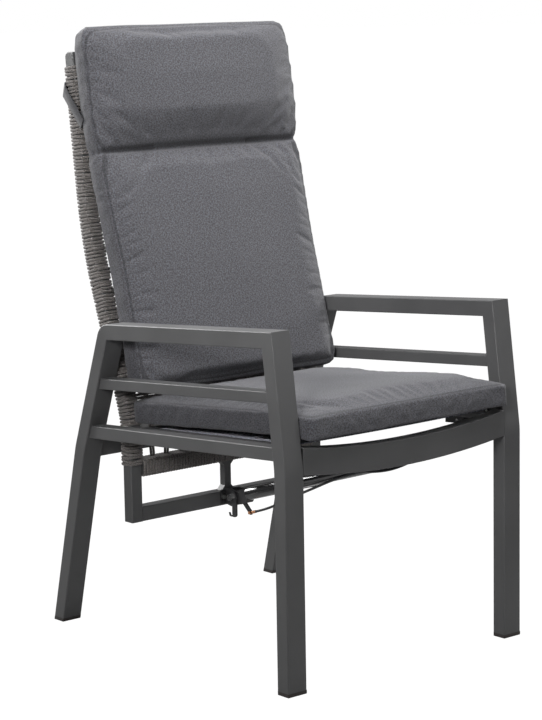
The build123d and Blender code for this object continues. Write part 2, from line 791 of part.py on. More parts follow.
for bar_name, bar_plane, place, height in cross_bars:
    with BuildPart() as cross_bar:
        with BuildSketch(bar_plane):
            with Locations(place):
                RectangleRounded(POST_SIZE, height, EDGE_R)
                Rectangle(POST_SIZE - 2 * POST_WALL, height - 2 * POST_WALL, mode=Mode.SUBTRACT)
        extrude(amount=2 * post_in)
        if bar_name == "back_bottom_bar":
            with BuildSketch(Plane.XZ.offset(-FRONT_Y - POST_DEPTH)):
                with Locations((-screw_x, SPRING_REAR_Z), (screw_x, SPRING_REAR_Z)):
                    Circle(SCREW_R)
            extrude(amount=-POST_WALL, mode=Mode.SUBTRACT)
    cross_bar.part.label = bar_name
    export_step(cross_bar.part, f"parts/{bar_name}.step")

# Centre strut: a small square tube with a flared weld at each end
strut_low = POST_BOTTOM_Z + BOTTOM_BAR_H
strut_high = CROSS_TUBE_Z - CROSS_TUBE_H / 2
strut_half = STRUT_SIZE / 2
with BuildPart() as back_strut:
    with BuildSketch(Plane.XZ.offset(-FRONT_Y - cross_depth + strut_half)):
        with BuildLine():
            Polyline(
                (-strut_half - STRUT_GUSSET, strut_low),
                (strut_half + STRUT_GUSSET, strut_low),
                (strut_half, strut_low + STRUT_GUSSET),
                (strut_half, strut_high - STRUT_GUSSET),
                (strut_half + STRUT_GUSSET, strut_high),
                (-strut_half - STRUT_GUSSET, strut_high),
                (-strut_half, strut_high - STRUT_GUSSET),
                (-strut_half, strut_low + STRUT_GUSSET),
                close=True,
            )
        make_face()
    extrude(amount=-STRUT_SIZE)
    with BuildSketch(Plane.XY.offset(strut_low)):
        with Locations((0, FRONT_Y + cross_depth)):
            Rectangle(STRUT_SIZE - 2 * POST_WALL, STRUT_SIZE - 2 * POST_WALL)
    extrude(amount=strut_high - strut_low, mode=Mode.SUBTRACT)
back_strut.part.label = "back_strut"
export_step(back_strut.part, "parts/back_strut.step")

# Rope wraps: sleeves of rope turns round the posts and the cross tubes
wrap_out = POST_HALF_SPAN + ROPE_T
for side, way in SIDES:
    wrap_x = way * wrap_out - (way + 1) / 2 * (POST_SIZE + 2 * ROPE_T)
    with BuildPart() as post_wrap:
        with BuildSketch(side_plane(wrap_x)):
            with BuildLine():
                post_strip(-ROPE_T, POST_SIZE + ROPE_T, low_z=WRAP_BOTTOM_Z, high_z=WRAP_TOP_Z)
            make_face()
        extrude(amount=POST_SIZE + 2 * ROPE_T)
        with BuildSketch(side_plane(wrap_x + ROPE_T - ROPE_FIT)):
            with BuildLine():
                post_strip(-ROPE_FIT, POST_SIZE + ROPE_FIT, low_z=WRAP_BOTTOM_Z, high_z=WRAP_TOP_Z)
            make_face()
        extrude(amount=POST_SIZE + 2 * ROPE_FIT, mode=Mode.SUBTRACT)
        with BuildSketch(side_plane(wrap_x)):
            with Locations((PIVOT_DEPTH, PIVOT_Z)):
                Circle(BUSH_FLANGE_R + SIDE_FIT)
        extrude(amount=POST_SIZE + 2 * ROPE_T, mode=Mode.SUBTRACT)
        with BuildSketch(side_plane(way * post_in)):
            with Locations((cross_depth, CROSS_TUBE_Z)):
                Rectangle(POST_SIZE + 2 * ROPE_FIT, CROSS_TUBE_H + 2 * ROPE_FIT)
        extrude(amount=-way * (ROPE_T + ROPE_FIT), mode=Mode.SUBTRACT)
    post_wrap.part.label = f"{side}_post_wrap"
    export_step(post_wrap.part, f"parts/{side}_post_wrap.step")

wrap_reach = post_in - ROPE_T - ROPE_FIT
bar_wraps = (
    ("cross_tube_wrap", side_plane(-wrap_reach), (cross_depth, CROSS_TUBE_Z), CROSS_TUBE_H, CROSS_ROPE_T),
    (
        "top_rail_wrap",
        top_rail_plane.offset(post_in - wrap_reach),
        (0, 0),
        POST_SIZE - 2 * EDGE_R,
        ROPE_T,
    ),
)
for wrap_name, wrap_plane, place, height, rope in bar_wraps:
    with BuildPart() as bar_wrap:
        with BuildSketch(wrap_plane):
            with Locations(place):
                RectangleRounded(POST_SIZE + 2 * rope, height + 2 * rope, rope)
                Rectangle(POST_SIZE + 2 * ROPE_FIT, height + 2 * ROPE_FIT, mode=Mode.SUBTRACT)
        extrude(amount=2 * wrap_reach)
        if wrap_name == "cross_tube_wrap":
            with BuildSketch(Plane.XY.offset(strut_high - rope - ROPE_FIT)):
                with Locations((0, FRONT_Y + cross_depth)):
                    Rectangle(
                        STRUT_SIZE + 2 * STRUT_GUSSET + 2 * ROPE_FIT, STRUT_SIZE + 2 * ROPE_FIT
                    )
            extrude(amount=rope + ROPE_FIT, mode=Mode.SUBTRACT)
    bar_wrap.part.label = wrap_name
    export_step(bar_wrap.part, f"parts/{wrap_name}.step")

# Woven back panel: pairs of ropes cross in a square net that follows the posts' middle
net_half_w = wrap_reach - NET_FIT
washer_x = post_in - SIDE_FIT
head_x = washer_x - WASHER_T
net_low = CROSS_TUBE_Z + CROSS_TUBE_H / 2 + CROSS_ROPE_T + NET_FIT
net_high = top_rail_z - (POST_SIZE - 2 * EDGE_R) / 2 - ROPE_T - NET_FIT
net_pitch_x = (2 * net_half_w + NET_BAND) / (NET_COLUMNS + 1)
net_pitch_z = (net_high - net_low + NET_BAND) / NET_ROWS
with BuildPart() as whole_net:
    with BuildSketch(side_plane(-net_half_w)):
        with BuildLine():
            post_strip(
                (POST_SIZE - NET_T) / 2, (POST_SIZE + NET_T) / 2, low_z=net_low, high_z=net_high
            )
        make_face()
    extrude(amount=2 * net_half_w)
    with BuildSketch(Plane.XZ.offset(-FRONT_Y - POST_DEPTH)):
        with Locations((0, (net_low + net_high) / 2)):
            with GridLocations(net_pitch_x, net_pitch_z, NET_COLUMNS + 1, NET_ROWS):
                Rectangle(net_pitch_x - NET_BAND, net_pitch_z - NET_BAND)
    extrude(amount=-(post_top[0] + POST_SIZE - POST_DEPTH), mode=Mode.SUBTRACT)
    for side, way in SIDES:
        with BuildSketch(side_plane(way * (head_x - BOLT_HEAD_T - SIDE_FIT))):
            with Locations((PIVOT_DEPTH, PIVOT_Z)):
                Circle(WASHER_R + SIDE_FIT)
        extrude(amount=way * (BOLT_HEAD_T + POST_SIZE), mode=Mode.SUBTRACT)
# The net is kept as a part below the posts' bend and a part above it
for net_name, kept in (("lower_woven_panel", Keep.BOTTOM), ("upper_woven_panel", Keep.TOP)):
    with BuildPart() as net_stretch:
        add(whole_net.part)
        split(bisect_by=Plane.XY.offset(POST_BEND_Z), keep=kept)
    net_stretch.part.label = net_name
    export_step(net_stretch.part, f"parts/{net_name}.step")

# Back cushion line, up its front face at the side seams: a long body and a pillow above a crease
cushion_base = (BACK_CUSHION_DEPTH, BACK_CUSHION_Z)
crease = (
    cushion_base[0] + BODY_LENGTH * sin(radians(BACK_CUSHION_LEAN)),
    cushion_base[1] + BODY_LENGTH * cos(radians(BACK_CUSHION_LEAN)),
)
cushion_top = (
    crease[0] + PILLOW_LENGTH * sin(radians(PILLOW_LEAN)),
    crease[1] + PILLOW_LENGTH * cos(radians(PILLOW_LEAN)),
)
# Sections up the cushion: share of the stretch, lean, share of the width and thickness kept, and
# share of the stretch's front and rear crowns
body_shares = (
    (0.0, 0.94, 0.62, 0.0, 0.0),
    (0.02, 0.98, 0.86, 0.3, 0.2),
    (0.06, 1.0, 1.0, 0.6, 0.5),
    (0.2, 0.995, 1.0, 0.9, 0.9),
    (0.5, 0.99, 1.0, 1.0, 1.0),
    (0.8, 0.995, 1.0, 0.95, 1.0),
    (0.95, 0.998, 1.0, 0.7, 1.0),
)
pillow_shares = (
    (0.0, 0.99, 0.92, 0.04, 0.8),
    (0.08, 0.998, 1.0, 0.55, 0.8),
    (0.3, 1.0, 1.0, 0.95, 0.7),
    (0.6, 0.998, 1.0, 0.95, 0.15),
    (0.85, 0.995, 1.0, 0.7, 0.0),
    (0.96, 0.97, 0.84, 0.35, 0.0),
    (1.0, 0.92, 0.5, 0.0, 0.0),
)
cushion_stretches = (
    (cushion_base, crease, BACK_CUSHION_LEAN, BODY_CROWN, body_shares),
    (crease, cushion_top, PILLOW_LEAN, PILLOW_CROWN, pillow_shares),
)
with BuildPart() as back_cushion:
    for start, end, lean, front_crown, shares in cushion_stretches:
        for reach, width, thickness, bulge, rear_bulge in shares:
            depth, z = along(start, end, reach)
            front_t = BACK_CUSHION_T * (1 - thickness) / 2
            rear_t = BACK_CUSHION_T - front_t
            half_w = BACK_CUSHION_HALF_W * width
            crown = front_t - front_crown * bulge - CREASE_CROWN
            belly = rear_t + REAR_CROWN * rear_bulge + CREASE_CROWN
            section = Plane(
                origin=(0, FRONT_Y + depth, z),
                x_dir=(1, 0, 0),
                z_dir=(0, sin(radians(lean)), cos(radians(lean))),
            )
            with BuildSketch(section):
                with BuildLine():
                    ThreePointArc((-half_w, front_t), (0, crown), (half_w, front_t))
                    Line((half_w, front_t), (half_w, rear_t))
                    ThreePointArc((half_w, rear_t), (0, belly), (-half_w, rear_t))
                    Line((-half_w, rear_t), (-half_w, front_t))
                make_face()
    loft(ruled=True)
back_cushion.part.label = "back_cushion"
export_step(back_cushion.part, "parts/back_cushion.step")

# Cushion strap: a fabric band behind the back frame, turned forwards to the cushion's sides
strap_in = BACK_CUSHION_HALF_W + STRAP_GAP
strap_near = inset(post_line, POST_SIZE + ROPE_T + STRAP_GAP)
strap_far = inset(post_line, POST_SIZE + ROPE_T + STRAP_GAP + STRAP_T)
strap_top_z = STRAP_Z + STRAP_W
with BuildPart() as cushion_strap:
    with BuildSketch(side_plane(-strap_in)):
        with BuildLine():
            Polyline(
                at_height(strap_near[2], strap_near[3], STRAP_Z),
                at_height(strap_far[2], strap_far[3], STRAP_Z),
                at_height(strap_far[2], strap_far[3], strap_top_z),
                at_height(strap_near[2], strap_near[3], strap_top_z),
                close=True,
            )
        make_face()
    extrude(amount=2 * strap_in)
    for side, way in SIDES:
        with BuildSketch(side_plane(way * strap_in)):
            with BuildLine():
                Polyline(
                    at_height(strap_far[2], strap_far[3], STRAP_Z),
                    at_height(strap_far[2], strap_far[3], strap_top_z),
                    (STRAP_END_DEPTH, strap_top_z - STRAP_END_DROP),
                    (STRAP_END_DEPTH, STRAP_Z - STRAP_END_DROP),
                    close=True,
                )
            make_face()
        extrude(amount=way * STRAP_T)
cushion_strap.part.label = "cushion_strap"
export_step(cushion_strap.part, "parts/cushion_strap.step")

# Recline pivot: a bolt through each post into a threaded insert in the seat rail
flange_t = RAIL_IN - POST_HALF_SPAN - SIDE_FIT
with BuildPart() as pivot_bushes:
    for side, way in SIDES:
        with BuildSketch(side_plane(way * post_in)):
            with Locations((PIVOT_DEPTH, PIVOT_Z)):
                Circle(BUSH_R)
                Circle(PIVOT_R + RUN_FIT, mode=Mode.SUBTRACT)
        extrude(amount=way * POST_SIZE)
        with BuildSketch(side_plane(way * POST_HALF_SPAN)):
            with Locations((PIVOT_DEPTH, PIVOT_Z)):
                Circle(BUSH_FLANGE_R)
                Circle(PIVOT_R + RUN_FIT, mode=Mode.SUBTRACT)
        extrude(amount=way * flange_t)
pivot_bushes.part.label = "pivot_bushes"
export_step(pivot_bushes.part, "parts/pivot_bushes.step")

with BuildPart() as pivot_washers:
    for side, way in SIDES:
        with BuildSketch(side_plane(way * washer_x)):
            with Locations((PIVOT_DEPTH, PIVOT_Z)):
                Circle(WASHER_R)
                Circle(PIVOT_R + RUN_FIT, mode=Mode.SUBTRACT)
        extrude(amount=-way * WASHER_T)
pivot_washers.part.label = "pivot_washers"
export_step(pivot_washers.part, "parts/pivot_washers.step")

insert_end = RAIL_IN + INSERT_R * 2
with BuildPart() as pivot_bolts:
    for side, way in SIDES:
        with BuildSketch(side_plane(way * (head_x - BOLT_HEAD_T))):
            with Locations((PIVOT_DEPTH, PIVOT_Z)):
                RegularPolygon(BOLT_HEAD_R, 6, major_radius=False)
        extrude(amount=way * BOLT_HEAD_T)
        with BuildSketch(side_plane(way * head_x)):
            with Locations((PIVOT_DEPTH, PIVOT_Z)):
                Circle(PIVOT_R)
        extrude(amount=way * (insert_end - head_x))
pivot_bolts.part.label = "pivot_bolts"
export_step(pivot_bolts.part, "parts/pivot_bolts.step")

with BuildPart() as pivot_inserts:
    for side, way in SIDES:
        with BuildSketch(side_plane(way * RAIL_IN)):
            with Locations((PIVOT_DEPTH, PIVOT_Z)):
                Circle(INSERT_R)
                Circle(PIVOT_R + RUN_FIT, mode=Mode.SUBTRACT)
        extrude(amount=way * (insert_end - RAIL_IN))
pivot_inserts.part.label = "pivot_inserts"
export_step(pivot_inserts.part, "parts/pivot_inserts.step")

# Gas spring line, from its front pin down to its rear bolt
spring_front = (SPRING_FRONT_DEPTH, SPRING_FRONT_Z)
spring_rear = (SPRING_REAR_DEPTH, SPRING_REAR_Z)
spring_way = heading(spring_front, spring_rear)
spring_length = hypot(spring_rear[0] - spring_front[0], spring_rear[1] - spring_front[1])

# The rear bolt swings round the pivot as the back reclines, which gives the stroke
tilt = radians(RECLINE_MAX)
swing = (spring_rear[0] - PIVOT_DEPTH, spring_rear[1] - PIVOT_Z)
reclined_rear = (
    PIVOT_DEPTH + swing[0] * cos(tilt) + swing[1] * sin(tilt),
    PIVOT_Z - swing[0] * sin(tilt) + swing[1] * cos(tilt),
)
stroke = spring_length - hypot(
    reclined_rear[0] - spring_front[0], reclined_rear[1] - spring_front[1]
)
head_start = spring_length - HEAD_L
cylinder_end = head_start - COVER_SEAT - stroke - STROKE_SPARE
piston_rest = cylinder_end - GUIDE_T - STROKE_SPARE - PISTON_T
cover_start = cylinder_end - COVER_LAP


def on_spring(reach, rise=0.0):
    """Point a distance down the spring from its front pin, and a rise square to it."""
    return (
        spring_front[0] + spring_way[0] * reach - spring_way[1] * rise,
        spring_front[1] + spring_way[1] * reach + spring_way[0] * rise,
    )


def spring_plane(reach):
    """Plane square to the gas spring; its y runs square to the spring, upwards."""
    depth, z = on_spring(reach)
    return Plane(
        origin=(0, FRONT_Y + depth, z), x_dir=(-1, 0, 0), z_dir=(0, spring_way[0], spring_way[1])
    )


with BuildPart() as gas_cylinder:
    with BuildSketch(side_plane(-EYE_W / 2)):
        with Locations(spring_front):
            Circle(EYE_R)
    extrude(amount=EYE_W)
    with BuildSketch(spring_plane(0)):
        Circle(EYE_W / 2)
    extrude(amount=CYLINDER_START)
    with BuildSketch(spring_plane(CYLINDER_START)):
        Circle(CYLINDER_R)
    extrude(amount=cylinder_end - CYLINDER_START)
    with BuildSketch(spring_plane(CYLINDER_START + 2 * CYLINDER_WALL)):
        Circle(CYLINDER_R - CYLINDER_WALL)
    extrude(amount=cylinder_end - CYLINDER_START - 2 * CYLINDER_WALL, mode=Mode.SUBTRACT)
    with BuildSketch(side_plane(-EYE_W / 2)):
        with Locations(spring_front):
            Circle(SPRING_BOLT_R + RUN_FIT)
    extrude(amount=EYE_W, mode=Mode.SUBTRACT)
gas_cylinder.part.label = "gas_cylinder"
export_step(gas_cylinder.part, "parts/gas_cylinder.step")

with BuildPart() as rod_guide:
    with BuildSketch(spring_plane(cylinder_end - GUIDE_T)):
        Circle(CYLINDER_R - CYLINDER_WALL)
        Circle(SPRING_ROD_R + RUN_FIT, mode=Mode.SUBTRACT)
    extrude(amount=GUIDE_T)
rod_guide.part.label = "rod_guide"
export_step(rod_guide.part, "parts/rod_guide.step")

rod_end = head_start + ROD_SEAT
with BuildPart() as gas_rod:
    with BuildSketch(spring_plane(piston_rest + PISTON_T)):
        Circle(SPRING_ROD_R)
    extrude(amount=rod_end - piston_rest - PISTON_T)
    with BuildSketch(spring_plane(rod_end)):
        Circle(RELEASE_PIN_R + RUN_FIT)
    extrude(amount=-(RELEASE_PIN_L + RELEASE_PIN_OUT), mode=Mode.SUBTRACT)
gas_rod.part.label = "gas_rod"
export_step(gas_rod.part, "parts/gas_rod.step")

with BuildPart() as gas_piston:
    with BuildSketch(spring_plane(piston_rest)):
        Circle(CYLINDER_R - CYLINDER_WALL - RUN_FIT)
    extrude(amount=PISTON_T)
gas_piston.part.label = "gas_piston"
export_step(gas_piston.part, "parts/gas_piston.step")

with BuildPart() as rod_cover:
    with BuildSketch(spring_plane(cover_start)):
        Circle(COVER_R)
        Circle(COVER_R - COVER_WALL, mode=Mode.SUBTRACT)
    extrude(amount=head_start - cover_start)
rod_cover.part.label = "rod_cover"
export_step(rod_cover.part, "parts/rod_cover.step")

# Release head: it takes the rod's end, the lever in a slot, and the rear bolt in a slotted eye
eye_r = SPRING_BOLT_R + EYE_PLAY
cavity_start = rod_end
cavity_end = cavity_start + LEVER_CAVITY_L
lever_pivot = on_spring(cavity_start + LEVER_W, LEVER_TOP)
lever_knee = on_spring(cavity_start + LEVER_W, -LEVER_KNEE)
lever_tail = on_spring(cavity_start + LEVER_W - LEVER_KICK, -LEVER_TAIL)
mouth_start = cavity_start - MOUTH_REACH
with BuildPart() as release_head:
    with BuildSketch(side_plane(-HEAD_W / 2)):
        with BuildLine():
            Polyline(
                on_spring(head_start, HEAD_UP),
                on_spring(spring_length, HEAD_UP),
                on_spring(spring_length + HEAD_UP, 0),
                on_spring(spring_length + HEAD_UP, HEAD_UP - HEAD_DOWN),
                on_spring(spring_length, -HEAD_DOWN),
                on_spring(mouth_start, -HEAD_DOWN),
                on_spring(head_start, -HEAD_UP),
                close=True,
            )
        make_face()
    extrude(amount=HEAD_W)
    with BuildSketch(spring_plane(head_start)):
        Circle(COVER_R - COVER_WALL)
    extrude(amount=-COVER_SEAT)
    with BuildSketch(spring_plane(head_start - COVER_SEAT)):
        Circle(SPRING_ROD_R)
    extrude(amount=ROD_SEAT + COVER_SEAT, mode=Mode.SUBTRACT)
    with BuildSketch(side_plane(-LEVER_T / 2 - SIDE_FIT)):
        with BuildLine():
            Polyline(
                on_spring(cavity_start, HEAD_UP),
                on_spring(cavity_end, HEAD_UP),
                on_spring(cavity_end, -HEAD_DOWN),
                on_spring(mouth_start, -HEAD_DOWN),
                on_spring(mouth_start, -SPRING_ROD_R - CYLINDER_WALL),
                on_spring(cavity_start, -SPRING_ROD_R - CYLINDER_WALL),
                close=True,
            )
        make_face()
    extrude(amount=LEVER_T + 2 * SIDE_FIT, mode=Mode.SUBTRACT)
    with BuildSketch(side_plane(-HEAD_W / 2)):
        link(on_spring(spring_length), on_spring(spring_length, -EYE_SLIDE), 2 * eye_r)
        with Locations(lever_pivot):
            Circle(LEVER_PIN_R)
    extrude(amount=HEAD_W, mode=Mode.SUBTRACT)
release_head.part.label = "release_head"
export_step(release_head.part, "parts/release_head.step")

with BuildPart() as release_lever_pin:
    with BuildSketch(side_plane(-HEAD_W / 2)):
        with Locations(lever_pivot):
            Circle(LEVER_PIN_R)
    extrude(amount=HEAD_W)
release_lever_pin.part.label = "release_lever_pin"
export_step(release_lever_pin.part, "parts/release_lever_pin.step")

with BuildPart() as release_pin:
    with BuildSketch(spring_plane(rod_end + RELEASE_PIN_OUT)):
        Circle(RELEASE_PIN_R)
    extrude(amount=-RELEASE_PIN_L)
release_pin.part.label = "release_pin"
export_step(release_pin.part, "parts/release_pin.step")

# Release lever: it hangs through the head, behind the pin, and its tail holds the cable's barrel
crimp_start = cavity_start + LEVER_W - LEVER_KICK - LEVER_W / 2 - SIDE_FIT
with BuildPart() as release_lever:
    with BuildSketch(side_plane(-LEVER_T / 2)):
        link(lever_pivot, lever_knee, LEVER_W)
        link(lever_knee, lever_tail, LEVER_W)
        with Locations(lever_pivot):
            Circle(LEVER_PIN_R + RUN_FIT, mode=Mode.SUBTRACT)
        with Locations(lever_tail):
            Circle(BARREL_R + RUN_FIT, mode=Mode.SUBTRACT)
        with BuildLine():
            Polyline(
                on_spring(crimp_start, -LEVER_TAIL + WIRE_R + SIDE_FIT),
                on_spring(crimp_start + LEVER_W / 2, -LEVER_TAIL + WIRE_R + SIDE_FIT),
                on_spring(crimp_start + LEVER_W / 2, -LEVER_TAIL - WIRE_R - SIDE_FIT),
                on_spring(crimp_start, -LEVER_TAIL - WIRE_R - SIDE_FIT),
                close=True,
            )
        make_face(mode=Mode.SUBTRACT)
    extrude(amount=LEVER_T)
release_lever.part.label = "release_lever"
export_step(release_lever.part, "parts/release_lever.step")


def tail_plane(reach):
    """Plane square to the gas spring, at the height of the release lever's tail."""
    depth, z = on_spring(reach, -LEVER_TAIL)
    return Plane(
        origin=(0, FRONT_Y + depth, z), x_dir=(-1, 0, 0), z_dir=(0, spring_way[0], spring_way[1])
    )


with BuildPart() as cable_ferrule:
    with BuildSketch(side_plane(-BARREL_L / 2)):
        with Locations(lever_tail):
            Circle(BARREL_R)
    extrude(amount=BARREL_L)
    with BuildSketch(tail_plane(crimp_start - CRIMP_L)):
        Circle(CRIMP_R)
    extrude(amount=CRIMP_L)
    with BuildSketch(tail_plane(crimp_start)):
        Circle(WIRE_R)
    extrude(amount=LEVER_W / 2)
cable_ferrule.part.label = "cable_ferrule"
export_step(cable_ferrule.part, "parts/cable_ferrule.step")

# Rear bracket: a plate screwed to the bottom bar, two cheeks round the head, and a hooked tab
with BuildPart() as spring_bracket:
    for cheek_x in (-cheek_out, cheek_in):
        with BuildSketch(side_plane(cheek_x)):
            with Locations(spring_rear):
                Circle(LOBE_R)
            with BuildLine():
                Polyline(
                    (SPRING_REAR_DEPTH, SPRING_REAR_Z + LOBE_R),
                    (POST_DEPTH, SPRING_REAR_Z + LOBE_R - PLATE_T),
                    (POST_DEPTH, SPRING_REAR_Z - LOBE_R + PLATE_T),
                    (SPRING_REAR_DEPTH, SPRING_REAR_Z - LOBE_R),
                    close=True,
                )
            make_face()
            with Locations(spring_rear):
                Circle(SPRING_BOLT_R + RUN_FIT, mode=Mode.SUBTRACT)
        extrude(amount=PLATE_T)
    tab_end = (SPRING_REAR_DEPTH - TAB_BACK, SPRING_REAR_Z - TAB_DROP)
    hook_start = (tab_end[0], tab_end[1] - TAB_W / 2 + HOOK_W / 2)
    hook_end = (hook_start[0] + HOOK_REACH, hook_start[1])
    with BuildSketch(side_plane(-cheek_out)):
        link((tab_end[0], SPRING_REAR_Z - LOBE_R / 2), tab_end, TAB_W)
        link(hook_start, hook_end, HOOK_W)
        link(hook_end, (hook_end[0] + HOOK_W, hook_end[1] + HOOK_RISE), HOOK_W)
    extrude(amount=PLATE_T)
    with BuildSketch(Plane.XZ.offset(-FRONT_Y - POST_DEPTH)):
        with Locations((0, SPRING_REAR_Z)):
            Rectangle(BRACKET_W, 2 * (LOBE_R - PLATE_T))
            with Locations((-screw_x, 0), (screw_x, 0)):
                Circle(SCREW_R, mode=Mode.SUBTRACT)
    extrude(amount=PLATE_T)
spring_bracket.part.label = "spring_bracket"
export_step(spring_bracket.part, "parts/spring_bracket.step")

with BuildPart() as bracket_screws:
    with BuildSketch(Plane.XZ.offset(-FRONT_Y - POST_DEPTH + PLATE_T)):
        with Locations((-screw_x, SPRING_REAR_Z), (screw_x, SPRING_REAR_Z)):
            Circle(SCREW_R)
    extrude(amount=-SCREW_L)
    with BuildSketch(Plane.XZ.offset(-FRONT_Y - POST_DEPTH + PLATE_T)):
        with Locations((-screw_x, SPRING_REAR_Z), (screw_x, SPRING_REAR_Z)):
            RegularPolygon(SCREW_HEAD_R, 6, major_radius=False)
    extrude(amount=SCREW_HEAD_T)
bracket_screws.part.label = "bracket_screws"
export_step(bracket_screws.part, "parts/bracket_screws.step")

# Bolts and nuts of the gas spring's two pivots
spring_bolts = (
    ("spring_bolt", "spring_nut", spring_rear, cheek_out),
    ("front_bolt", "front_nut", spring_front, EYE_W / 2 + PLATE_GAP + PLATE_T),
)
for bolt_name, nut_name, centre, cheek in spring_bolts:
    with BuildPart() as bolt:
        with BuildSketch(side_plane(-cheek - BOLT_HEAD_T)):
            with Locations(centre):
                RegularPolygon(BOLT_HEAD_R, 6, major_radius=False)
        extrude(amount=BOLT_HEAD_T)
        with BuildSketch(side_plane(-cheek)):
            with Locations(centre):
                Circle(SPRING_BOLT_R)
        extrude(amount=2 * cheek + BOLT_HEAD_T + WASHER_T)
    bolt.part.label = bolt_name
    export_step(bolt.part, f"parts/{bolt_name}.step")

    with BuildPart() as nut:
        with BuildSketch(side_plane(cheek)):
            with Locations(centre):
                RegularPolygon(BOLT_HEAD_R, 6, major_radius=False)
                Circle(SPRING_BOLT_R, mode=Mode.SUBTRACT)
        extrude(amount=BOLT_HEAD_T)
    nut.part.label = nut_name
    export_step(nut.part, f"parts/{nut_name}.step")

# Front bracket: a plate welded behind the front rail and two cheeks round the cylinder's eye
rail_middle_z = FRONT_RAIL_Z - FRONT_RAIL_SAG - FRONT_RAIL_H / 2
plate_low = rail_middle_z - FRONT_RAIL_H / 2 + EDGE_R
front_cheek_in = EYE_W / 2 + PLATE_GAP
with BuildPart() as front_bracket:
    for cheek_x in (-front_cheek_in - PLATE_T, front_cheek_in):
        with BuildSketch(side_plane(cheek_x)):
            with Locations(spring_front):
                Circle(FRONT_LOBE_R)
            with BuildLine():
                Polyline(
                    (FRONT_RAIL_T, plate_low),
                    (FRONT_RAIL_T, plate_low + FRONT_PLATE_H),
                    (SPRING_FRONT_DEPTH, SPRING_FRONT_Z + FRONT_LOBE_R),
                    (SPRING_FRONT_DEPTH - PLATE_T, SPRING_FRONT_Z - FRONT_LOBE_R + PLATE_GAP),
                    close=True,
                )
            make_face()
            with Locations(spring_front):
                Circle(SPRING_BOLT_R + RUN_FIT, mode=Mode.SUBTRACT)
        extrude(amount=PLATE_T)
    with BuildSketch(Plane.XZ.offset(-FRONT_Y - FRONT_RAIL_T)):
        with Locations((0, plate_low + FRONT_PLATE_H / 2)):
            Rectangle(FRONT_PLATE_W, FRONT_PLATE_H)
    extrude(amount=-PLATE_T)
front_bracket.part.label = "front_bracket"
export_step(front_bracket.part, "parts/front_bracket.step")

# Lever housing: a block screwed under the left seat rail, with a slot for the hand lever
housing_back = HOUSING_DEPTH + HOUSING_L
housing_in = RAIL_IN + HOUSING_INSET
slot_in = housing_in + INNER_CHEEK
slot_out = housing_in + HOUSING_W - OUTER_CHEEK
housing_top = (at_depth(*seat_rail_bottom, HOUSING_DEPTH), at_depth(*seat_rail_bottom, housing_back))
housing_low = lowered(housing_top, HOUSING_H)
axle_depth = HOUSING_DEPTH + LEVER_AXLE_SET
lever_axle = (axle_depth, at_depth(*seat_rail_bottom, axle_depth)[1] - HOUSING_H / 2)
cable_entry = (
    housing_in + INNER_CHEEK / 2,
    HOUSING_DEPTH,
    at_depth(*housing_low, HOUSING_DEPTH)[1] + HOUSING_H / 2,
)
with BuildPart() as lever_housing:
    with BuildSketch(side_plane(housing_in)):
        with BuildLine():
            Polyline(housing_top[0], housing_top[1], housing_low[1], housing_low[0], close=True)
        make_face()
    extrude(amount=HOUSING_W)
    with BuildSketch(side_plane(slot_in)):
        with BuildLine():
            Polyline(
                lowered(housing_top, OUTER_CHEEK / 2)[0],
                (axle_depth + LEVER_BOSS_R + SIDE_FIT, lowered(housing_top, OUTER_CHEEK / 2)[0][1]),
                (axle_depth + LEVER_BOSS_R + SIDE_FIT, housing_low[1][1]),
                (HOUSING_DEPTH, housing_low[1][1]),
                close=True,
            )
        make_face()
    extrude(amount=slot_out - slot_in, mode=Mode.SUBTRACT)
    with BuildSketch(side_plane(housing_in)):
        with Locations(lever_axle):
            Circle(LEVER_AXLE_R)
    extrude(amount=HOUSING_W, mode=Mode.SUBTRACT)
    with BuildSketch(Plane.XZ.offset(-FRONT_Y - HOUSING_DEPTH)):
        with Locations((cable_entry[0], cable_entry[2])):
            Circle(CABLE_R + CLIP_FIT)
    extrude(amount=-CABLE_SEAT, mode=Mode.SUBTRACT)
lever_housing.part.label = "lever_housing"
export_step(lever_housing.part, "parts/lever_housing.step")

with BuildPart() as hand_lever_axle:
    with BuildSketch(side_plane(housing_in)):
        with Locations(lever_axle):
            Circle(LEVER_AXLE_R)
    extrude(amount=HOUSING_W)
hand_lever_axle.part.label = "hand_lever_axle"
export_step(hand_lever_axle.part, "parts/hand_lever_axle.step")

# Hand lever: a boss on the axle and a paddle that reaches forwards under the rail
paddle_back = (HOUSING_DEPTH - PADDLE_BACK, lever_axle[1] - PADDLE_DROP * 2 / 3)
paddle_front = (paddle_back[0] - PADDLE_L, lever_axle[1] - PADDLE_DROP)
with BuildPart() as hand_lever:
    with BuildSketch(side_plane(slot_in + SIDE_FIT)):
        with Locations(lever_axle):
            Circle(LEVER_BOSS_R)
        link(lever_axle, paddle_back, PADDLE_T)
        with Locations(lever_axle):
            Circle(LEVER_AXLE_R + RUN_FIT, mode=Mode.SUBTRACT)
    extrude(amount=slot_out - slot_in - 2 * SIDE_FIT)
    with BuildSketch(side_plane(slot_in + SIDE_FIT)):
        link(paddle_back, paddle_front, PADDLE_T)
        link(paddle_front, (paddle_front[0] - PADDLE_LIP, paddle_front[1] - PADDLE_LIP), PADDLE_T)
    extrude(amount=PADDLE_W)
    fillet(hand_lever.edges().group_by(Axis.X)[-1], EDGE_R / 2)
hand_lever.part.label = "hand_lever"
export_step(hand_lever.part, "parts/hand_lever.step")

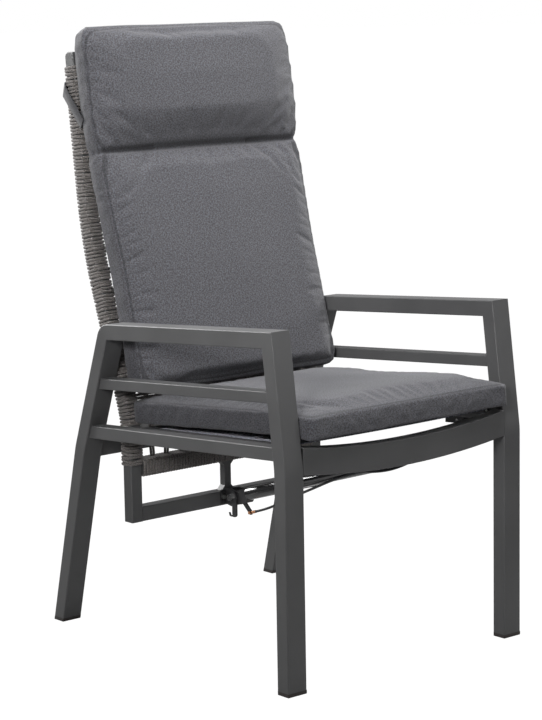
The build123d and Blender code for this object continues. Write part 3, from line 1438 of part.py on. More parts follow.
# Release cable: from the ferrule forwards under the gas spring, round the front bracket, and along
# the back of the front rail up to the lever housing.
# Under the spring: share of its length from the front pin, then how far the cable lies to the right
# of its axis and below it, as shares of the rod cover's radius
under_spring = (
    (0.692, 0.12, 2.3),
    (0.565, 0.32, 1.66),
    (0.445, 0.8, 1.22),
    (0.348, 1.2, 0.81),
    (0.247, 1.28, 0.47),
    (0.158, 1.28, 0.42),
    (0.102, 1.6, 0.45),
    (0.048, 2.0, 0.66),
)
# Round the front bracket: to the right of the axis, forward of the pin and below it, as shares of
# the bracket's lobe radius
round_bracket = ((1.77, 0.55, 0.91), (0.36, 1.68, 0.59))
# Along the front rail: share of the way to the left seat rail, distance behind the front rail in
# cable radii, and share of the rise to the housing
along_rail = (
    (0.096, 2.6, -0.06),
    (0.24, 3.6, 0.15),
    (0.39, 4.0, 0.34),
    (0.546, 4.4, 0.49),
    (0.7, 6.0, 0.62),
    (0.827, 10.8, 0.77),
    (0.93, 19.6, 0.92),
)
cable_start = crimp_start - CRIMP_L - SIDE_FIT
cable_route = [
    (0, *on_spring(cable_start, -LEVER_TAIL)),
    (0, *on_spring(cable_start - CABLE_LEAD, -LEVER_TAIL)),
]
for share, across, below in under_spring:
    cable_route.append((-COVER_R * across, *on_spring(spring_length * share, -COVER_R * below)))
for across, ahead, below in round_bracket:
    cable_route.append((
        -FRONT_LOBE_R * across,
        SPRING_FRONT_DEPTH - FRONT_LOBE_R * ahead,
        SPRING_FRONT_Z - FRONT_LOBE_R * below,
    ))
entry_x, entry_depth, entry_z = cable_entry
for share, behind, rise in along_rail:
    cable_route.append((
        RAIL_IN * share,
        FRONT_RAIL_T + CABLE_R * behind,
        SPRING_FRONT_Z + (entry_z - SPRING_FRONT_Z) * rise,
    ))
cable_route.append((entry_x, entry_depth - CABLE_SEAT, entry_z))
cable_route.append((entry_x, entry_depth + CABLE_SEAT - SIDE_FIT, entry_z))
cable_points = [Vector(x, FRONT_Y + depth, z) for x, depth, z in cable_route]
cable_radii = []
for before, corner, after in zip(cable_points, cable_points[1:], cable_points[2:]):
    turn = radians((corner - before).get_angle(after - corner))
    shorter = min((corner - before).length, (after - corner).length)
    cable_radii.append(BEND_SHARE * shorter / tan(turn / 2))
print("cable arc radii", [round(radius, 1) for radius in cable_radii])
with BuildPart() as release_cable:
    with BuildLine() as cable_line:
        FilletPolyline(*cable_points, radius=cable_radii)
    with BuildSketch(Plane(origin=cable_points[0], z_dir=cable_points[1] - cable_points[0])):
        Circle(CABLE_R)
    sweep()
cable_length = sum(edge.length for edge in cable_line.edges())
print("cable length", round(cable_length, 1))
print("volume over section times length", release_cable.part.volume / (pi * CABLE_R**2 * cable_length))
release_cable.part.label = "release_cable"
export_step(release_cable.part, "parts/release_cable.step")

# Cable clips: blocks on the back of the front rail, bored for the cable
rail_run = cable_points[-len(along_rail) - 2:]
with BuildPart() as cable_clips:
    for start, end in ((rail_run[1], rail_run[2]), (rail_run[3], rail_run[4])):
        middle = (start + end) / 2
        run_plane = Plane(origin=middle, z_dir=end - start)
        reach = middle.Y - FRONT_Y - FRONT_RAIL_T + CABLE_R + CLIP_WALL
        with BuildSketch(Plane.XZ.offset(-FRONT_Y - FRONT_RAIL_T)):
            with Locations((middle.X, middle.Z)):
                Rectangle(CLIP_L, 2 * (CABLE_R + CLIP_WALL))
        extrude(amount=-reach)
        with BuildSketch(run_plane):
            Circle(CABLE_R + CLIP_FIT)
        extrude(amount=CLIP_L, both=True, mode=Mode.SUBTRACT)
cable_clips.part.label = "cable_clips"
export_step(cable_clips.part, "parts/cable_clips.step")
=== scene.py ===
"""Reclining garden armchair: looks, soft goods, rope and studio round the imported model."""

import json
import math

import bmesh
import bpy
from mathutils import Matrix, Vector, noise


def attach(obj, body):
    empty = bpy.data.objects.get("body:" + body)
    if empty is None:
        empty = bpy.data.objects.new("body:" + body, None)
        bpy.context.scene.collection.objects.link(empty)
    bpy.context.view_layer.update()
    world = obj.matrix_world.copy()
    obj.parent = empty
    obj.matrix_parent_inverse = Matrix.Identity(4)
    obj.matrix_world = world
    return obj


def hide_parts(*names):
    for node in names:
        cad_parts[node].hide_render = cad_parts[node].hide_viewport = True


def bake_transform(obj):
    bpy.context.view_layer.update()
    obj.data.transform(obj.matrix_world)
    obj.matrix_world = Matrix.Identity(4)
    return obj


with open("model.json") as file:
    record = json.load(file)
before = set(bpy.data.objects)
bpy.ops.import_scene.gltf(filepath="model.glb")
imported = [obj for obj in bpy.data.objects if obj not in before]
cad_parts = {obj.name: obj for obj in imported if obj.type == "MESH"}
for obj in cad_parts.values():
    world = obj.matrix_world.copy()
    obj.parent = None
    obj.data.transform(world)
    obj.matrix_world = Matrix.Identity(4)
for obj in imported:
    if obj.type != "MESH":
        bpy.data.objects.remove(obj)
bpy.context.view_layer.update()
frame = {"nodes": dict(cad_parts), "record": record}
nodes_of = frame["nodes"]
scene = bpy.context.scene

# Sizes shared with the solids, in metres; the depth counts from the front legs' faces
FRONT_Y = -0.3387
RAIL_IN = 0.249
POST_SIZE = 0.025
POST_HALF_SPAN = 0.2356
POST_IN = POST_HALF_SPAN - POST_SIZE
POST_LINE = ((0.4985, 0.214), (0.4985, 0.410), (0.60708, 0.7364), (0.64691, 1.086))
POST_BEND_R = 0.120
POST_CREST_R = 0.849
PIVOT = (0.511, 0.3885)
WRAP_LOW = 0.322
WRAP_HIGH = 1.060
CROSS_TUBE = (0.511, 0.316)
CROSS_H = 0.032
TOP_RAIL = (0.65799, 1.0735)
TOP_RAIL_H = 0.021
ROPE_T = 0.004
ROPE_W = 0.0062
ROPE_PITCH = 0.0064
NET_HALF_W = 0.20605
NET_LOW = 0.3372
NET_HIGH = 1.0586
NET_COLUMNS = 11
NET_ROWS = 18
SPRING_FRONT = (0.052, 0.360)
SPRING_REAR = (0.480, 0.2315)
SLING_FRONT = 0.045
SLING_REAR = 0.425
SEAT_TILT = math.radians(3.7)
SEAT_RAIL_Z = 0.4334
SEAT_CUSHION_TILT = math.radians(4.5)
SEAT_CUSHION_L = 0.5105
SEAT_SEAM_Z = 0.445
SEAT_BOXING = 0.044
CUSHION_OVERHANG = 0.017
BACK_BASE = (0.4453, 0.4685)
BACK_LEAN = math.radians(14.9)
PILLOW_LEAN = math.radians(9.4)
BODY_LENGTH = 0.451
PILLOW_LENGTH = 0.230
BACK_T = 0.048
BACK_HALF_W = 0.241


def at(x, depth, z):
    """A point of the chair from its x, its depth behind the front legs' faces and its height."""
    return Vector((x, FRONT_Y + depth, z))


def leaning(angle):
    """The ways up and back of a piece that leans back by an angle."""
    return (
        Vector((0, math.sin(angle), math.cos(angle))),
        Vector((0, math.cos(angle), -math.sin(angle))),
    )


def new_piece(name, mesh):
    """An object of the chair whose place is in its mesh."""
    piece = bpy.data.objects.new(name, mesh)
    scene.collection.objects.link(piece)
    return piece


def evaluated_mesh(piece):
    """The mesh of a piece with its modifiers or its curve worked out."""
    graph = bpy.context.evaluated_depsgraph_get()
    return bpy.data.meshes.new_from_object(piece.evaluated_get(graph))


def bell(value, width):
    """1 at zero, falling to 0 a few widths away."""
    return math.exp(-((value / width) ** 2))


def ramp(value):
    """A soft step from 0 to 1."""
    value = min(max(value, 0.0), 1.0)
    return value * value * (3 - 2 * value)


def smooth(piece):
    """Shades a piece's faces as one surface."""
    for face in piece.data.polygons:
        face.use_smooth = True


# Materials


class Wiring:
    """The node tree of a material or a group, with short calls to add and join its nodes."""

    def __init__(self, tree):
        self.tree = tree

    def add(self, kind, **settings):
        node = self.tree.nodes.new(kind)
        for key, value in settings.items():
            setattr(node, key, value)
        return node

    def join(self, source, target):
        self.tree.links.new(source, target)

    def chain(self, *nodes):
        """Joins each node's first output to the next one's first input."""
        for node, following in zip(nodes, nodes[1:]):
            self.join(node.outputs[0], following.inputs[0])

    def math(self, operation, first, second):
        node = self.add("ShaderNodeMath", operation=operation)
        for socket, value in zip(node.inputs, (first, second)):
            if isinstance(value, (int, float)):
                socket.default_value = value
            else:
                self.join(value, socket)
        return node.outputs[0]


def preset(node, values):
    """Sets a node's inputs by their names."""
    for label, value in values.items():
        node.inputs[label].default_value = value


def new_group(name, inputs, outputs):
    """A shader node group with named numbers in and out, its wiring and its two end nodes."""
    tree = bpy.data.node_groups.new(name, "ShaderNodeTree")
    for label, value in inputs.items():
        socket = tree.interface.new_socket(label, in_out="INPUT", socket_type="NodeSocketFloat")
        socket.default_value = value
    for label in outputs:
        tree.interface.new_socket(label, in_out="OUTPUT", socket_type="NodeSocketFloat")
    wiring = Wiring(tree)
    return tree, wiring, wiring.add("NodeGroupInput"), wiring.add("NodeGroupOutput")


# Grain: fine bumps of a coated, cast or moulded surface, and a slow change of its gloss
grain_tree, grain, grain_in, grain_out = new_group(
    "Surface Grain",
    {"Grains Per Metre": 900.0, "Clouds Per Metre": 9.0, "Gloss Low": 0.35, "Gloss High": 0.5},
    ("Height", "Roughness", "Cloud"),
)
grain_coordinates = grain.add("ShaderNodeTexCoord")
grain_fine = grain.add("ShaderNodeTexNoise")
grain_slow = grain.add("ShaderNodeTexNoise")
preset(grain_fine, {"Detail": 2.0})
preset(grain_slow, {"Detail": 4.0})
grain_range = grain.add("ShaderNodeMapRange")
preset(grain_range, {"From Min": 0.3, "From Max": 0.7})
for texture, label in ((grain_fine, "Grains Per Metre"), (grain_slow, "Clouds Per Metre")):
    grain.join(grain_coordinates.outputs["Object"], texture.inputs["Vector"])
    grain.join(grain_in.outputs[label], texture.inputs["Scale"])
grain.join(grain_slow.outputs["Fac"], grain_range.inputs["Value"])
grain.join(grain_in.outputs["Gloss Low"], grain_range.inputs["To Min"])
grain.join(grain_in.outputs["Gloss High"], grain_range.inputs["To Max"])
grain.join(grain_fine.outputs["Fac"], grain_out.inputs["Height"])
grain.join(grain_range.outputs["Result"], grain_out.inputs["Roughness"])
grain.join(grain_slow.outputs["Fac"], grain_out.inputs["Cloud"])

# Cloth: slubby threads both ways over the surface, laid flat on whichever way it faces
cloth_tree, cloth, cloth_in, cloth_out = new_group(
    "Slub Weave",
    {"Threads Per Metre": 700.0, "Slub Length": 7.0, "Fleck": 0.5},
    ("Tone", "Tint", "Height"),
)
SIDE_FACING = 0.72
FLECK_SCALE = 0.8
TONE_SHIFT = 0.7
cloth_coordinates = cloth.add("ShaderNodeTexCoord")
cloth_place = cloth.add("ShaderNodeSeparateXYZ")
cloth_facing = cloth.add("ShaderNodeSeparateXYZ")
cloth.join(cloth_coordinates.outputs["Object"], cloth_place.inputs[0])
cloth.join(cloth_coordinates.outputs["Normal"], cloth_facing.inputs[0])
facing = [cloth.math("ABSOLUTE", cloth_facing.outputs[axis], 0.0) for axis in range(3)]
is_side = cloth.math("GREATER_THAN", facing[0], SIDE_FACING)
is_top = cloth.math("GREATER_THAN", facing[2], facing[1])


def pick(wiring, choice, first, second):
    """The first value where the choice is 0 and the second where it is 1."""
    difference = wiring.math("SUBTRACT", second, first)
    return wiring.math("ADD", first, wiring.math("MULTIPLY", difference, choice))


across_cloth = pick(cloth, is_side, cloth_place.outputs[0], cloth_place.outputs[1])
top_or_front = pick(cloth, is_top, cloth_place.outputs[2], cloth_place.outputs[1])
up_cloth = pick(cloth, is_side, top_or_front, cloth_place.outputs[2])
thread_layers = []
for squeeze_across in (True, False):
    flat = cloth.add("ShaderNodeCombineXYZ")
    short_across = cloth.math("DIVIDE", across_cloth, cloth_in.outputs["Slub Length"])
    short_up = cloth.math("DIVIDE", up_cloth, cloth_in.outputs["Slub Length"])
    cloth.join(short_across if squeeze_across else across_cloth, flat.inputs[0])
    cloth.join(up_cloth if squeeze_across else short_up, flat.inputs[1])
    slubs = cloth.add("ShaderNodeTexNoise", noise_dimensions="2D")
    preset(slubs, {"Detail": 1.5})
    cloth.join(flat.outputs[0], slubs.inputs["Vector"])
    cloth.join(cloth_in.outputs["Threads Per Metre"], slubs.inputs["Scale"])
    thread_layers.append(slubs.outputs["Fac"])
cloth_flecks = cloth.add("ShaderNodeTexNoise")
preset(cloth_flecks, {"Detail": 0.0})
cloth.join(cloth_coordinates.outputs["Object"], cloth_flecks.inputs["Vector"])
cloth.join(
    cloth.math("MULTIPLY", cloth_in.outputs["Threads Per Metre"], FLECK_SCALE),
    cloth_flecks.inputs["Scale"],
)
both_ways = cloth.math("ADD", thread_layers[0], thread_layers[1])
fleck_part = cloth.math("MULTIPLY", cloth_flecks.outputs["Fac"], cloth_in.outputs["Fleck"])
cloth.join(
    cloth.math("SUBTRACT", cloth.math("ADD", both_ways, fleck_part), TONE_SHIFT),
    cloth_out.inputs["Tone"],
)
cloth.join(thread_layers[0], cloth_out.inputs["Tint"])
cloth.join(cloth.math("MULTIPLY", both_ways, 0.5), cloth_out.inputs["Height"])


def colour_ramp(wiring, source, stops):
    """The colour that a value picks from stops of place and colour."""
    node = wiring.add("ShaderNodeValToRGB")
    while len(node.color_ramp.elements) < len(stops):
        node.color_ramp.elements.new(0.5)
    for element, (place, colour) in zip(node.color_ramp.elements, stops):
        element.position = place
        element.color = (*colour, 1.0)
    wiring.join(source, node.inputs["Fac"])
    return node.outputs["Color"]


def new_material(name, metallic=0.0, specular=0.5, coat=0.0, sheen=0.0):
    """A material with its wiring and its shader."""
    material = bpy.data.materials.new(name)
    material.use_nodes = True
    wiring = Wiring(material.node_tree)
    shader = material.node_tree.nodes["Principled BSDF"]
    preset(shader, {"Metallic": metallic, "Specular IOR Level": specular})
    preset(shader, {"Coat Weight": coat, "Sheen Weight": sheen})
    return material, wiring, shader


def bump(wiring, shader, height, distance):
    """Raises a finish by a distance where its height is 1."""
    node = wiring.add("ShaderNodeBump")
    preset(node, {"Strength": 1.0, "Distance": distance})
    wiring.join(height, node.inputs["Height"])
    wiring.join(node.outputs["Normal"], shader.inputs["Normal"])


def grained(name, dark, light, gloss, grains=900.0, depth=0.00006, clouds=9.0, **settings):
    """A coated, cast, plated or moulded finish: two near colours, a gloss range and a grain."""
    material, wiring, shader = new_material(name, **settings)
    surface = wiring.add("ShaderNodeGroup", node_tree=grain_tree)
    preset(surface, {"Grains Per Metre": grains, "Clouds Per Metre": clouds})
    preset(surface, {"Gloss Low": gloss[0], "Gloss High": gloss[1]})
    colour = colour_ramp(wiring, surface.outputs["Cloud"], ((0.35, dark), (0.65, light)))
    wiring.join(colour, shader.inputs["Base Color"])
    wiring.join(surface.outputs["Roughness"], shader.inputs["Roughness"])
    bump(wiring, shader, surface.outputs["Height"], depth)
    return material


# Painted shade along the seams: half width, strength and tone of a thin darker line that stands in
# for the shade in each seam's groove
SEAM_HALF = 0.0007
SEAM_SHADE = 0.65
SEAM_SHADE_TONE = (0.3, 0.3, 0.31, 1.0)
WARM_THREAD = (1.06, 0.99, 0.94)
COOL_THREAD = (0.93, 0.99, 1.08)


def woven(name, dark, middle, light, threads, slub, fleck, depth, sheen=0.15, seam=False):
    """A woven finish: threads between three colours and, where asked, painted shade along the seam
    lines and in the crease that the cover's marks give.
    """
    material, wiring, shader = new_material(name, specular=0.2, sheen=sheen)
    preset(shader, {"Roughness": 0.9, "Sheen Roughness": 0.6})
    surface = wiring.add("ShaderNodeGroup", node_tree=cloth_tree)
    preset(surface, {"Threads Per Metre": threads, "Slub Length": slub, "Fleck": fleck})
    tones = ((0.2, dark), (0.5, middle), (0.8, light))
    tone = colour_ramp(wiring, surface.outputs["Tone"], tones)
    tints = ((0.3, WARM_THREAD), (0.7, COOL_THREAD))
    tint = colour_ramp(wiring, surface.outputs["Tint"], tints)
    tinted = wiring.add("ShaderNodeMix", data_type="RGBA", blend_type="MULTIPLY")
    preset(tinted, {"Factor": 1.0})
    wiring.join(tone, tinted.inputs["A"])
    wiring.join(tint, tinted.inputs["B"])
    colour = tinted.outputs["Result"]
    # Painted shade: darker along each seam line and in the crease, from the marks that sew leaves
    # on the cover
    if seam:
        line = wiring.add("ShaderNodeAttribute", attribute_name="painted_shade")
        away = wiring.add("ShaderNodeSeparateXYZ")
        wiring.join(line.outputs["Vector"], away.inputs[0])
        nearest = wiring.math(
            "MINIMUM",
            wiring.math("ABSOLUTE", away.outputs[0], 0.0),
            wiring.math("ABSOLUTE", away.outputs[1], 0.0),
        )
        seam_shade_ramp = wiring.add("ShaderNodeMapRange")
        wiring.join(nearest, seam_shade_ramp.inputs["Value"])
        preset(seam_shade_ramp, {"From Min": SEAM_HALF, "From Max": 2 * SEAM_HALF})
        preset(seam_shade_ramp, {"To Min": SEAM_SHADE, "To Max": 0.0})
        shade_amount = wiring.math("MAXIMUM", seam_shade_ramp.outputs["Result"], away.outputs[2])
        painted_shade = wiring.add("ShaderNodeMix", data_type="RGBA", blend_type="MULTIPLY")
        painted_shade.inputs["B"].default_value = SEAM_SHADE_TONE
        wiring.join(shade_amount, painted_shade.inputs["Factor"])
        wiring.join(colour, painted_shade.inputs["A"])
        colour = painted_shade.outputs["Result"]
    wiring.join(colour, shader.inputs["Base Color"])
    bump(wiring, shader, surface.outputs["Height"], depth)
    return material


FINISHES = {
    "frame_paint": grained(
        "Anthracite Coat", (0.05, 0.05, 0.051), (0.058, 0.058, 0.059), (0.46, 0.56)
    ),
    "glide_plastic": grained(
        "Glide Plastic", (0.016, 0.012, 0.011), (0.022, 0.017, 0.015), (0.5, 0.62)
    ),
    "track_plastic": grained(
        "Track Plastic", (0.02, 0.02, 0.021), (0.028, 0.028, 0.03), (0.5, 0.6)
    ),
    "rod_plastic": grained("Rod Plastic", (0.6, 0.6, 0.57), (0.68, 0.68, 0.65), (0.4, 0.5)),
    "zinc_steel": grained(
        "Zinc Plate", (0.5, 0.5, 0.48), (0.68, 0.68, 0.66), (0.28, 0.42), 420.0, metallic=1.0
    ),
    "bright_steel": grained(
        "Ground Steel", (0.56, 0.56, 0.57), (0.66, 0.66, 0.66), (0.18, 0.28), 700.0, metallic=1.0
    ),
    "bush_nylon": grained("Bush Nylon", (0.6, 0.59, 0.55), (0.7, 0.69, 0.65), (0.4, 0.5)),
    "spring_black": grained(
        "Gloss Black", (0.012, 0.012, 0.013), (0.018, 0.018, 0.019), (0.16, 0.24), 500.0, coat=0.6
    ),
    "black_steel": grained("Satin Black", (0.013, 0.013, 0.014), (0.02, 0.02, 0.021), (0.34, 0.46)),
    "cast_black": grained(
        "Cast Black", (0.016, 0.016, 0.017), (0.026, 0.026, 0.027), (0.45, 0.6), 300.0, 0.00015
    ),
    "copper_ferrule": grained(
        "Copper", (0.62, 0.3, 0.16), (0.78, 0.42, 0.24), (0.25, 0.4), 500.0, metallic=1.0
    ),
    "cable_sheath": grained(
        "Cable Sheath", (0.009, 0.009, 0.01), (0.014, 0.014, 0.015), (0.32, 0.42)
    ),
    "lever_plastic": grained(
        "Lever Plastic", (0.012, 0.012, 0.013), (0.018, 0.018, 0.019), (0.4, 0.5)
    ),
    # seam=True gives this cloth painted shade along its seams and in the back cushion's crease
    "cushion_fabric": woven(
        "Grey Melange", (0.0195, 0.0194, 0.0212), (0.0345, 0.0343, 0.0378), (0.065, 0.0647, 0.0705),
        640.0, 2.4, 0.6, 0.0003, sheen=0.08, seam=True,
    ),
    "sling_fabric": woven(
        "Sling Mesh", (0.03, 0.034, 0.05), (0.12, 0.13, 0.17), (0.42, 0.42, 0.48),
        420.0, 3.0, 0.6, 0.0005,
    ),
    "rope": woven(
        "Braided Rope", (0.026, 0.0235, 0.0215), (0.07, 0.064, 0.059), (0.145, 0.133, 0.124),
        900.0, 2.5, 0.7, 0.0008, sheen=0.1,
    ),
}
slot_of = {part["node"]: part["material_slot"] for part in frame["record"]["subparts"]}
for node_name, node_object in nodes_of.items():
    for material_slot in node_object.material_slots:
        material_slot.material = FINISHES[slot_of[node_name]]


def finish(piece, slot_name):
    """Gives a new piece the finish of a material slot."""
    piece.data.materials.clear()
    piece.data.materials.append(FINISHES[slot_name])


# Rope


def rounded_line(points, radii, steps=10):
    """Points along a line whose corners are rounded by arcs."""
    line = [Vector(points[0])]
    for before, corner, after, radius in zip(points, points[1:], points[2:], radii):
        corner = Vector(corner)
        back = (Vector(before) - corner).normalized()
        ahead = (Vector(after) - corner).normalized()
        half = back.angle(ahead) / 2
        centre = corner + (back + ahead).normalized() * (radius / math.sin(half))
        start = corner + back * (radius / math.tan(half)) - centre
        end = corner + ahead * (radius / math.tan(half)) - centre
        for step in range(steps + 1):
            line.append(centre + start.slerp(end, step / steps) * radius)
    line.append(Vector(points[-1]))
    return line


def mitred(points, shift):
    """The points of an upright line moved back by a distance square to its runs."""
    moved = []
    for index, point in enumerate(points):
        before = (Vector(points[max(index, 1)]) - Vector(points[max(index, 1) - 1])).normalized()
        last = min(index, len(points) - 2)
        after = (Vector(points[last + 1]) - Vector(points[last])).normalized()
        normal = Vector((before[1] + after[1], -before[0] - after[0]))
        moved.append(Vector(point) + normal * (shift / (1 + before.dot(after))))
    return moved


middle_corners = mitred(POST_LINE, POST_SIZE / 2)
middle_line = rounded_line(
    middle_corners, (POST_BEND_R + POST_SIZE / 2, POST_CREST_R + POST_SIZE / 2), steps=12
)


def on_post(z):
    """The middle of a back post at a height, and the unit way up the post there."""
    for low, high in zip(middle_line, middle_line[1:]):
        if high[1] >= z and high[1] > low[1]:
            share = (z - low[1]) / (high[1] - low[1])
            return low.lerp(high, share), (high - low).normalized()
    return middle_line[-1], (middle_line[-1] - middle_line[-2]).normalized()


def post_point(x, z, out=0.0):
    """A point of the back's middle surface at a height, moved out behind it by a distance."""
    place, way = on_post(z)
    return at(x, place[0] + way[1] * out, place[1] - way[0] * out)


def line_mesh(name, lines, lays):
    """A mesh of open edge lines, with the way that a flat rope on each is wide."""
    mesh = bpy.data.meshes.new(name)
    points, edges, widths = [], [], []
    for line, lay in zip(lines, lays):
        first = len(points)
        points += line
        widths += lay
        edges += [(first + step, first + step + 1) for step in range(len(line) - 1)]
    mesh.from_pydata(points, edges, [])
    attribute = mesh.attributes.new("lay", "FLOAT_VECTOR", "POINT")
    attribute.data.foreach_set("vector", [value for lay in widths for value in lay])
    return mesh


def new_geometry_tree(name, inputs):
    """A geometry tree that takes and gives geometry, with named inputs."""
    tree = bpy.data.node_groups.new(name, "GeometryNodeTree")
    tree.interface.new_socket("Geometry", in_out="INPUT", socket_type="NodeSocketGeometry")
    for label, kind, value in inputs:
        socket = tree.interface.new_socket(label, in_out="INPUT", socket_type=kind)
        if value is not None:
            socket.default_value = value
    tree.interface.new_socket("Geometry", in_out="OUTPUT", socket_type="NodeSocketGeometry")
    wiring = Wiring(tree)
    return tree, wiring, wiring.add("NodeGroupInput"), wiring.add("NodeGroupOutput")


ROUNDED_SHARE = 0.47


def flat_profile(wiring, wide, thick, narrow, steps=1):
    """A flat section, rounded by a share of its narrow way, whose sizes come from sockets."""
    outline = wiring.add("GeometryNodeCurvePrimitiveQuadrilateral")
    wiring.join(wide, outline.inputs["Width"])
    wiring.join(thick, outline.inputs["Height"])
    rounding = wiring.add("GeometryNodeFilletCurve", mode="POLY")
    preset(rounding, {"Count": steps})
    wiring.join(outline.outputs[0], rounding.inputs["Curve"])
    radius = wiring.add("ShaderNodeMath", operation="MULTIPLY")
    radius.inputs[1].default_value = ROUNDED_SHARE
    wiring.join(narrow, radius.inputs[0])
    wiring.join(radius.outputs[0], rounding.inputs["Radius"])
    return rounding


# Flat rope along lines: each edge line becomes a rope whose width lies along its own attribute
rope_tree, rope, rope_in, rope_out = new_geometry_tree(
    "Rope Along Lines",
    (
        ("Rope Width", "NodeSocketFloat", ROPE_W),
        ("Rope Thickness", "NodeSocketFloat", ROPE_T),
        ("Material", "NodeSocketMaterial", None),
    ),
)
rope_curve = rope.add("GeometryNodeMeshToCurve")
rope_lay = rope.add("GeometryNodeInputNamedAttribute", data_type="FLOAT_VECTOR")
preset(rope_lay, {"Name": "lay"})
rope_turn = rope.add("GeometryNodeSetCurveNormal", mode="FREE")
rope_section = flat_profile(
    rope, rope_in.outputs["Rope Width"], rope_in.outputs["Rope Thickness"],
    rope_in.outputs["Rope Thickness"],
)
rope_mesh = rope.add("GeometryNodeCurveToMesh")
preset(rope_mesh, {"Fill Caps": True})
rope_real = rope.add("GeometryNodeRealizeInstances")
rope_smooth = rope.add("GeometryNodeSetShadeSmooth")
rope_paint = rope.add("GeometryNodeSetMaterial")
rope.chain(
    rope_in, rope_curve, rope_turn, rope_mesh, rope_smooth, rope_real, rope_paint, rope_out
)
rope.join(rope_lay.outputs["Attribute"], rope_turn.inputs["Normal"])
rope.join(rope_section.outputs[0], rope_mesh.inputs["Profile Curve"])
rope.join(rope_in.outputs["Material"], rope_paint.inputs["Material"])

# Turns round a tube: one closed turn stands square to the line at every pitch, a little askew
turn_tree, turn, turn_in, turn_out = new_geometry_tree(
    "Rope Turns",
    (
        ("Width", "NodeSocketFloat", POST_SIZE + ROPE_T),
        ("Depth", "NodeSocketFloat", POST_SIZE + ROPE_T),
        ("Corner", "NodeSocketFloat", 0.005),
        ("Pitch", "NodeSocketFloat", ROPE_PITCH),
        ("Rope Width", "NodeSocketFloat", ROPE_W),
        ("Rope Thickness", "NodeSocketFloat", ROPE_T),
        ("Askew", "NodeSocketFloat", 0.05),
        ("Seed", "NodeSocketInt", 3),
        ("Material", "NodeSocketMaterial", None),
    ),
)
ASKEW_SIDE_SHARE = 0.6
turn_line = turn.add("GeometryNodeMeshToCurve")
turn_steps = turn.add("GeometryNodeCurveToPoints", mode="LENGTH")
turn_path = turn.add("GeometryNodeCurvePrimitiveQuadrilateral")
turn_round = turn.add("GeometryNodeFilletCurve", mode="POLY")
preset(turn_round, {"Count": 2})
turn_section = flat_profile(
    turn, turn_in.outputs["Rope Thickness"], turn_in.outputs["Rope Width"],
    turn_in.outputs["Rope Thickness"], steps=3,
)
turn_ring = turn.add("GeometryNodeCurveToMesh")
turn_smooth = turn.add("GeometryNodeSetShadeSmooth")
turn_lay = turn.add("FunctionNodeRandomValue", data_type="FLOAT_VECTOR")
turn_lowest = turn.add("ShaderNodeVectorMath", operation="SCALE")
turn_lowest.inputs[0].default_value = (-1.0, -ASKEW_SIDE_SHARE, 0.0)
turn_highest = turn.add("ShaderNodeVectorMath", operation="SCALE")
turn_highest.inputs[0].default_value = (1.0, ASKEW_SIDE_SHARE, 0.0)
turn_place = turn.add("GeometryNodeInstanceOnPoints")
turn_askew = turn.add("GeometryNodeRotateInstances")
turn_real = turn.add("GeometryNodeRealizeInstances")
turn_paint = turn.add("GeometryNodeSetMaterial")
turn.chain(
    turn_in, turn_line, turn_steps, turn_place, turn_askew, turn_real, turn_paint, turn_out
)
turn.chain(turn_path, turn_round, turn_ring, turn_smooth)
turn.join(turn_in.outputs["Pitch"], turn_steps.inputs["Length"])
turn.join(turn_in.outputs["Width"], turn_path.inputs["Width"])
turn.join(turn_in.outputs["Depth"], turn_path.inputs["Height"])
turn.join(turn_in.outputs["Corner"], turn_round.inputs["Radius"])
turn.join(turn_section.outputs[0], turn_ring.inputs["Profile Curve"])
turn.join(turn_steps.outputs["Rotation"], turn_place.inputs["Rotation"])
turn.join(turn_smooth.outputs[0], turn_place.inputs["Instance"])
turn.join(turn_in.outputs["Askew"], turn_lowest.inputs["Scale"])
turn.join(turn_in.outputs["Askew"], turn_highest.inputs["Scale"])
turn.join(turn_lowest.outputs[0], turn_lay.inputs["Min"])
turn.join(turn_highest.outputs[0], turn_lay.inputs["Max"])
turn.join(turn_in.outputs["Seed"], turn_lay.inputs["Seed"])
turn.join(turn_lay.outputs["Value"], turn_askew.inputs["Rotation"])
turn.join(turn_in.outputs["Material"], turn_paint.inputs["Material"])


def from_tree(name, mesh, tree, values, slot_name):
    """A plain piece made by a geometry tree from a mesh, with the tree's named values set."""
    maker = new_piece(name, mesh)
    modifier = maker.modifiers.new("maker", "NODES")
    modifier.node_group = tree
    values = {**values, "Material": FINISHES[slot_name]}
    for item in tree.interface.items_tree:
        if item.item_type == "SOCKET" and item.in_out == "INPUT" and item.name in values:
            modifier[item.identifier] = values[item.name]
    maker.data = evaluated_mesh(maker)
    maker.modifiers.clear()
    finish(maker, slot_name)
    return maker


def turns(name, line, values):
    """Close rope turns along a line."""
    mesh = line_mesh(name + "_line", [line], [[Vector((1, 0, 0))] * len(line)])
    return from_tree(name, mesh, turn_tree, values, "rope")


POST_STEPS = 40
PIVOT_BARE = 0.011
post_turns = {
    "Width": POST_SIZE + ROPE_T, "Depth": POST_SIZE + ROPE_T, "Corner": 0.006,
    "Rope Thickness": 0.0052, "Rope Width": 0.0058, "Askew": 0.07,
}


def stretch_of_post(x, low, high):
    """Points up the middle of a back post between two heights."""
    return [post_point(x, low + (high - low) * step / POST_STEPS) for step in range(POST_STEPS + 1)]


for side, way in (("right", -1), ("left", 1)):
    post_x = way * (POST_HALF_SPAN - POST_SIZE / 2)
    stretches = (
        ("below", WRAP_LOW + ROPE_W / 2, PIVOT[1] - PIVOT_BARE, 5),
        ("above", PIVOT[1] + PIVOT_BARE, WRAP_HIGH - ROPE_W / 2, 8),
    )
    wraps = []
    for place, low, high, seed in stretches:
        line = stretch_of_post(post_x, low, high)
        wrap = turns(f"{side}_rope_turns_{place}", line, {**post_turns, "Seed": seed})
        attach(wrap, "backrest")
        wraps.append(wrap)
    for wrap in wraps:
        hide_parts(f"{side}_post_wrap")

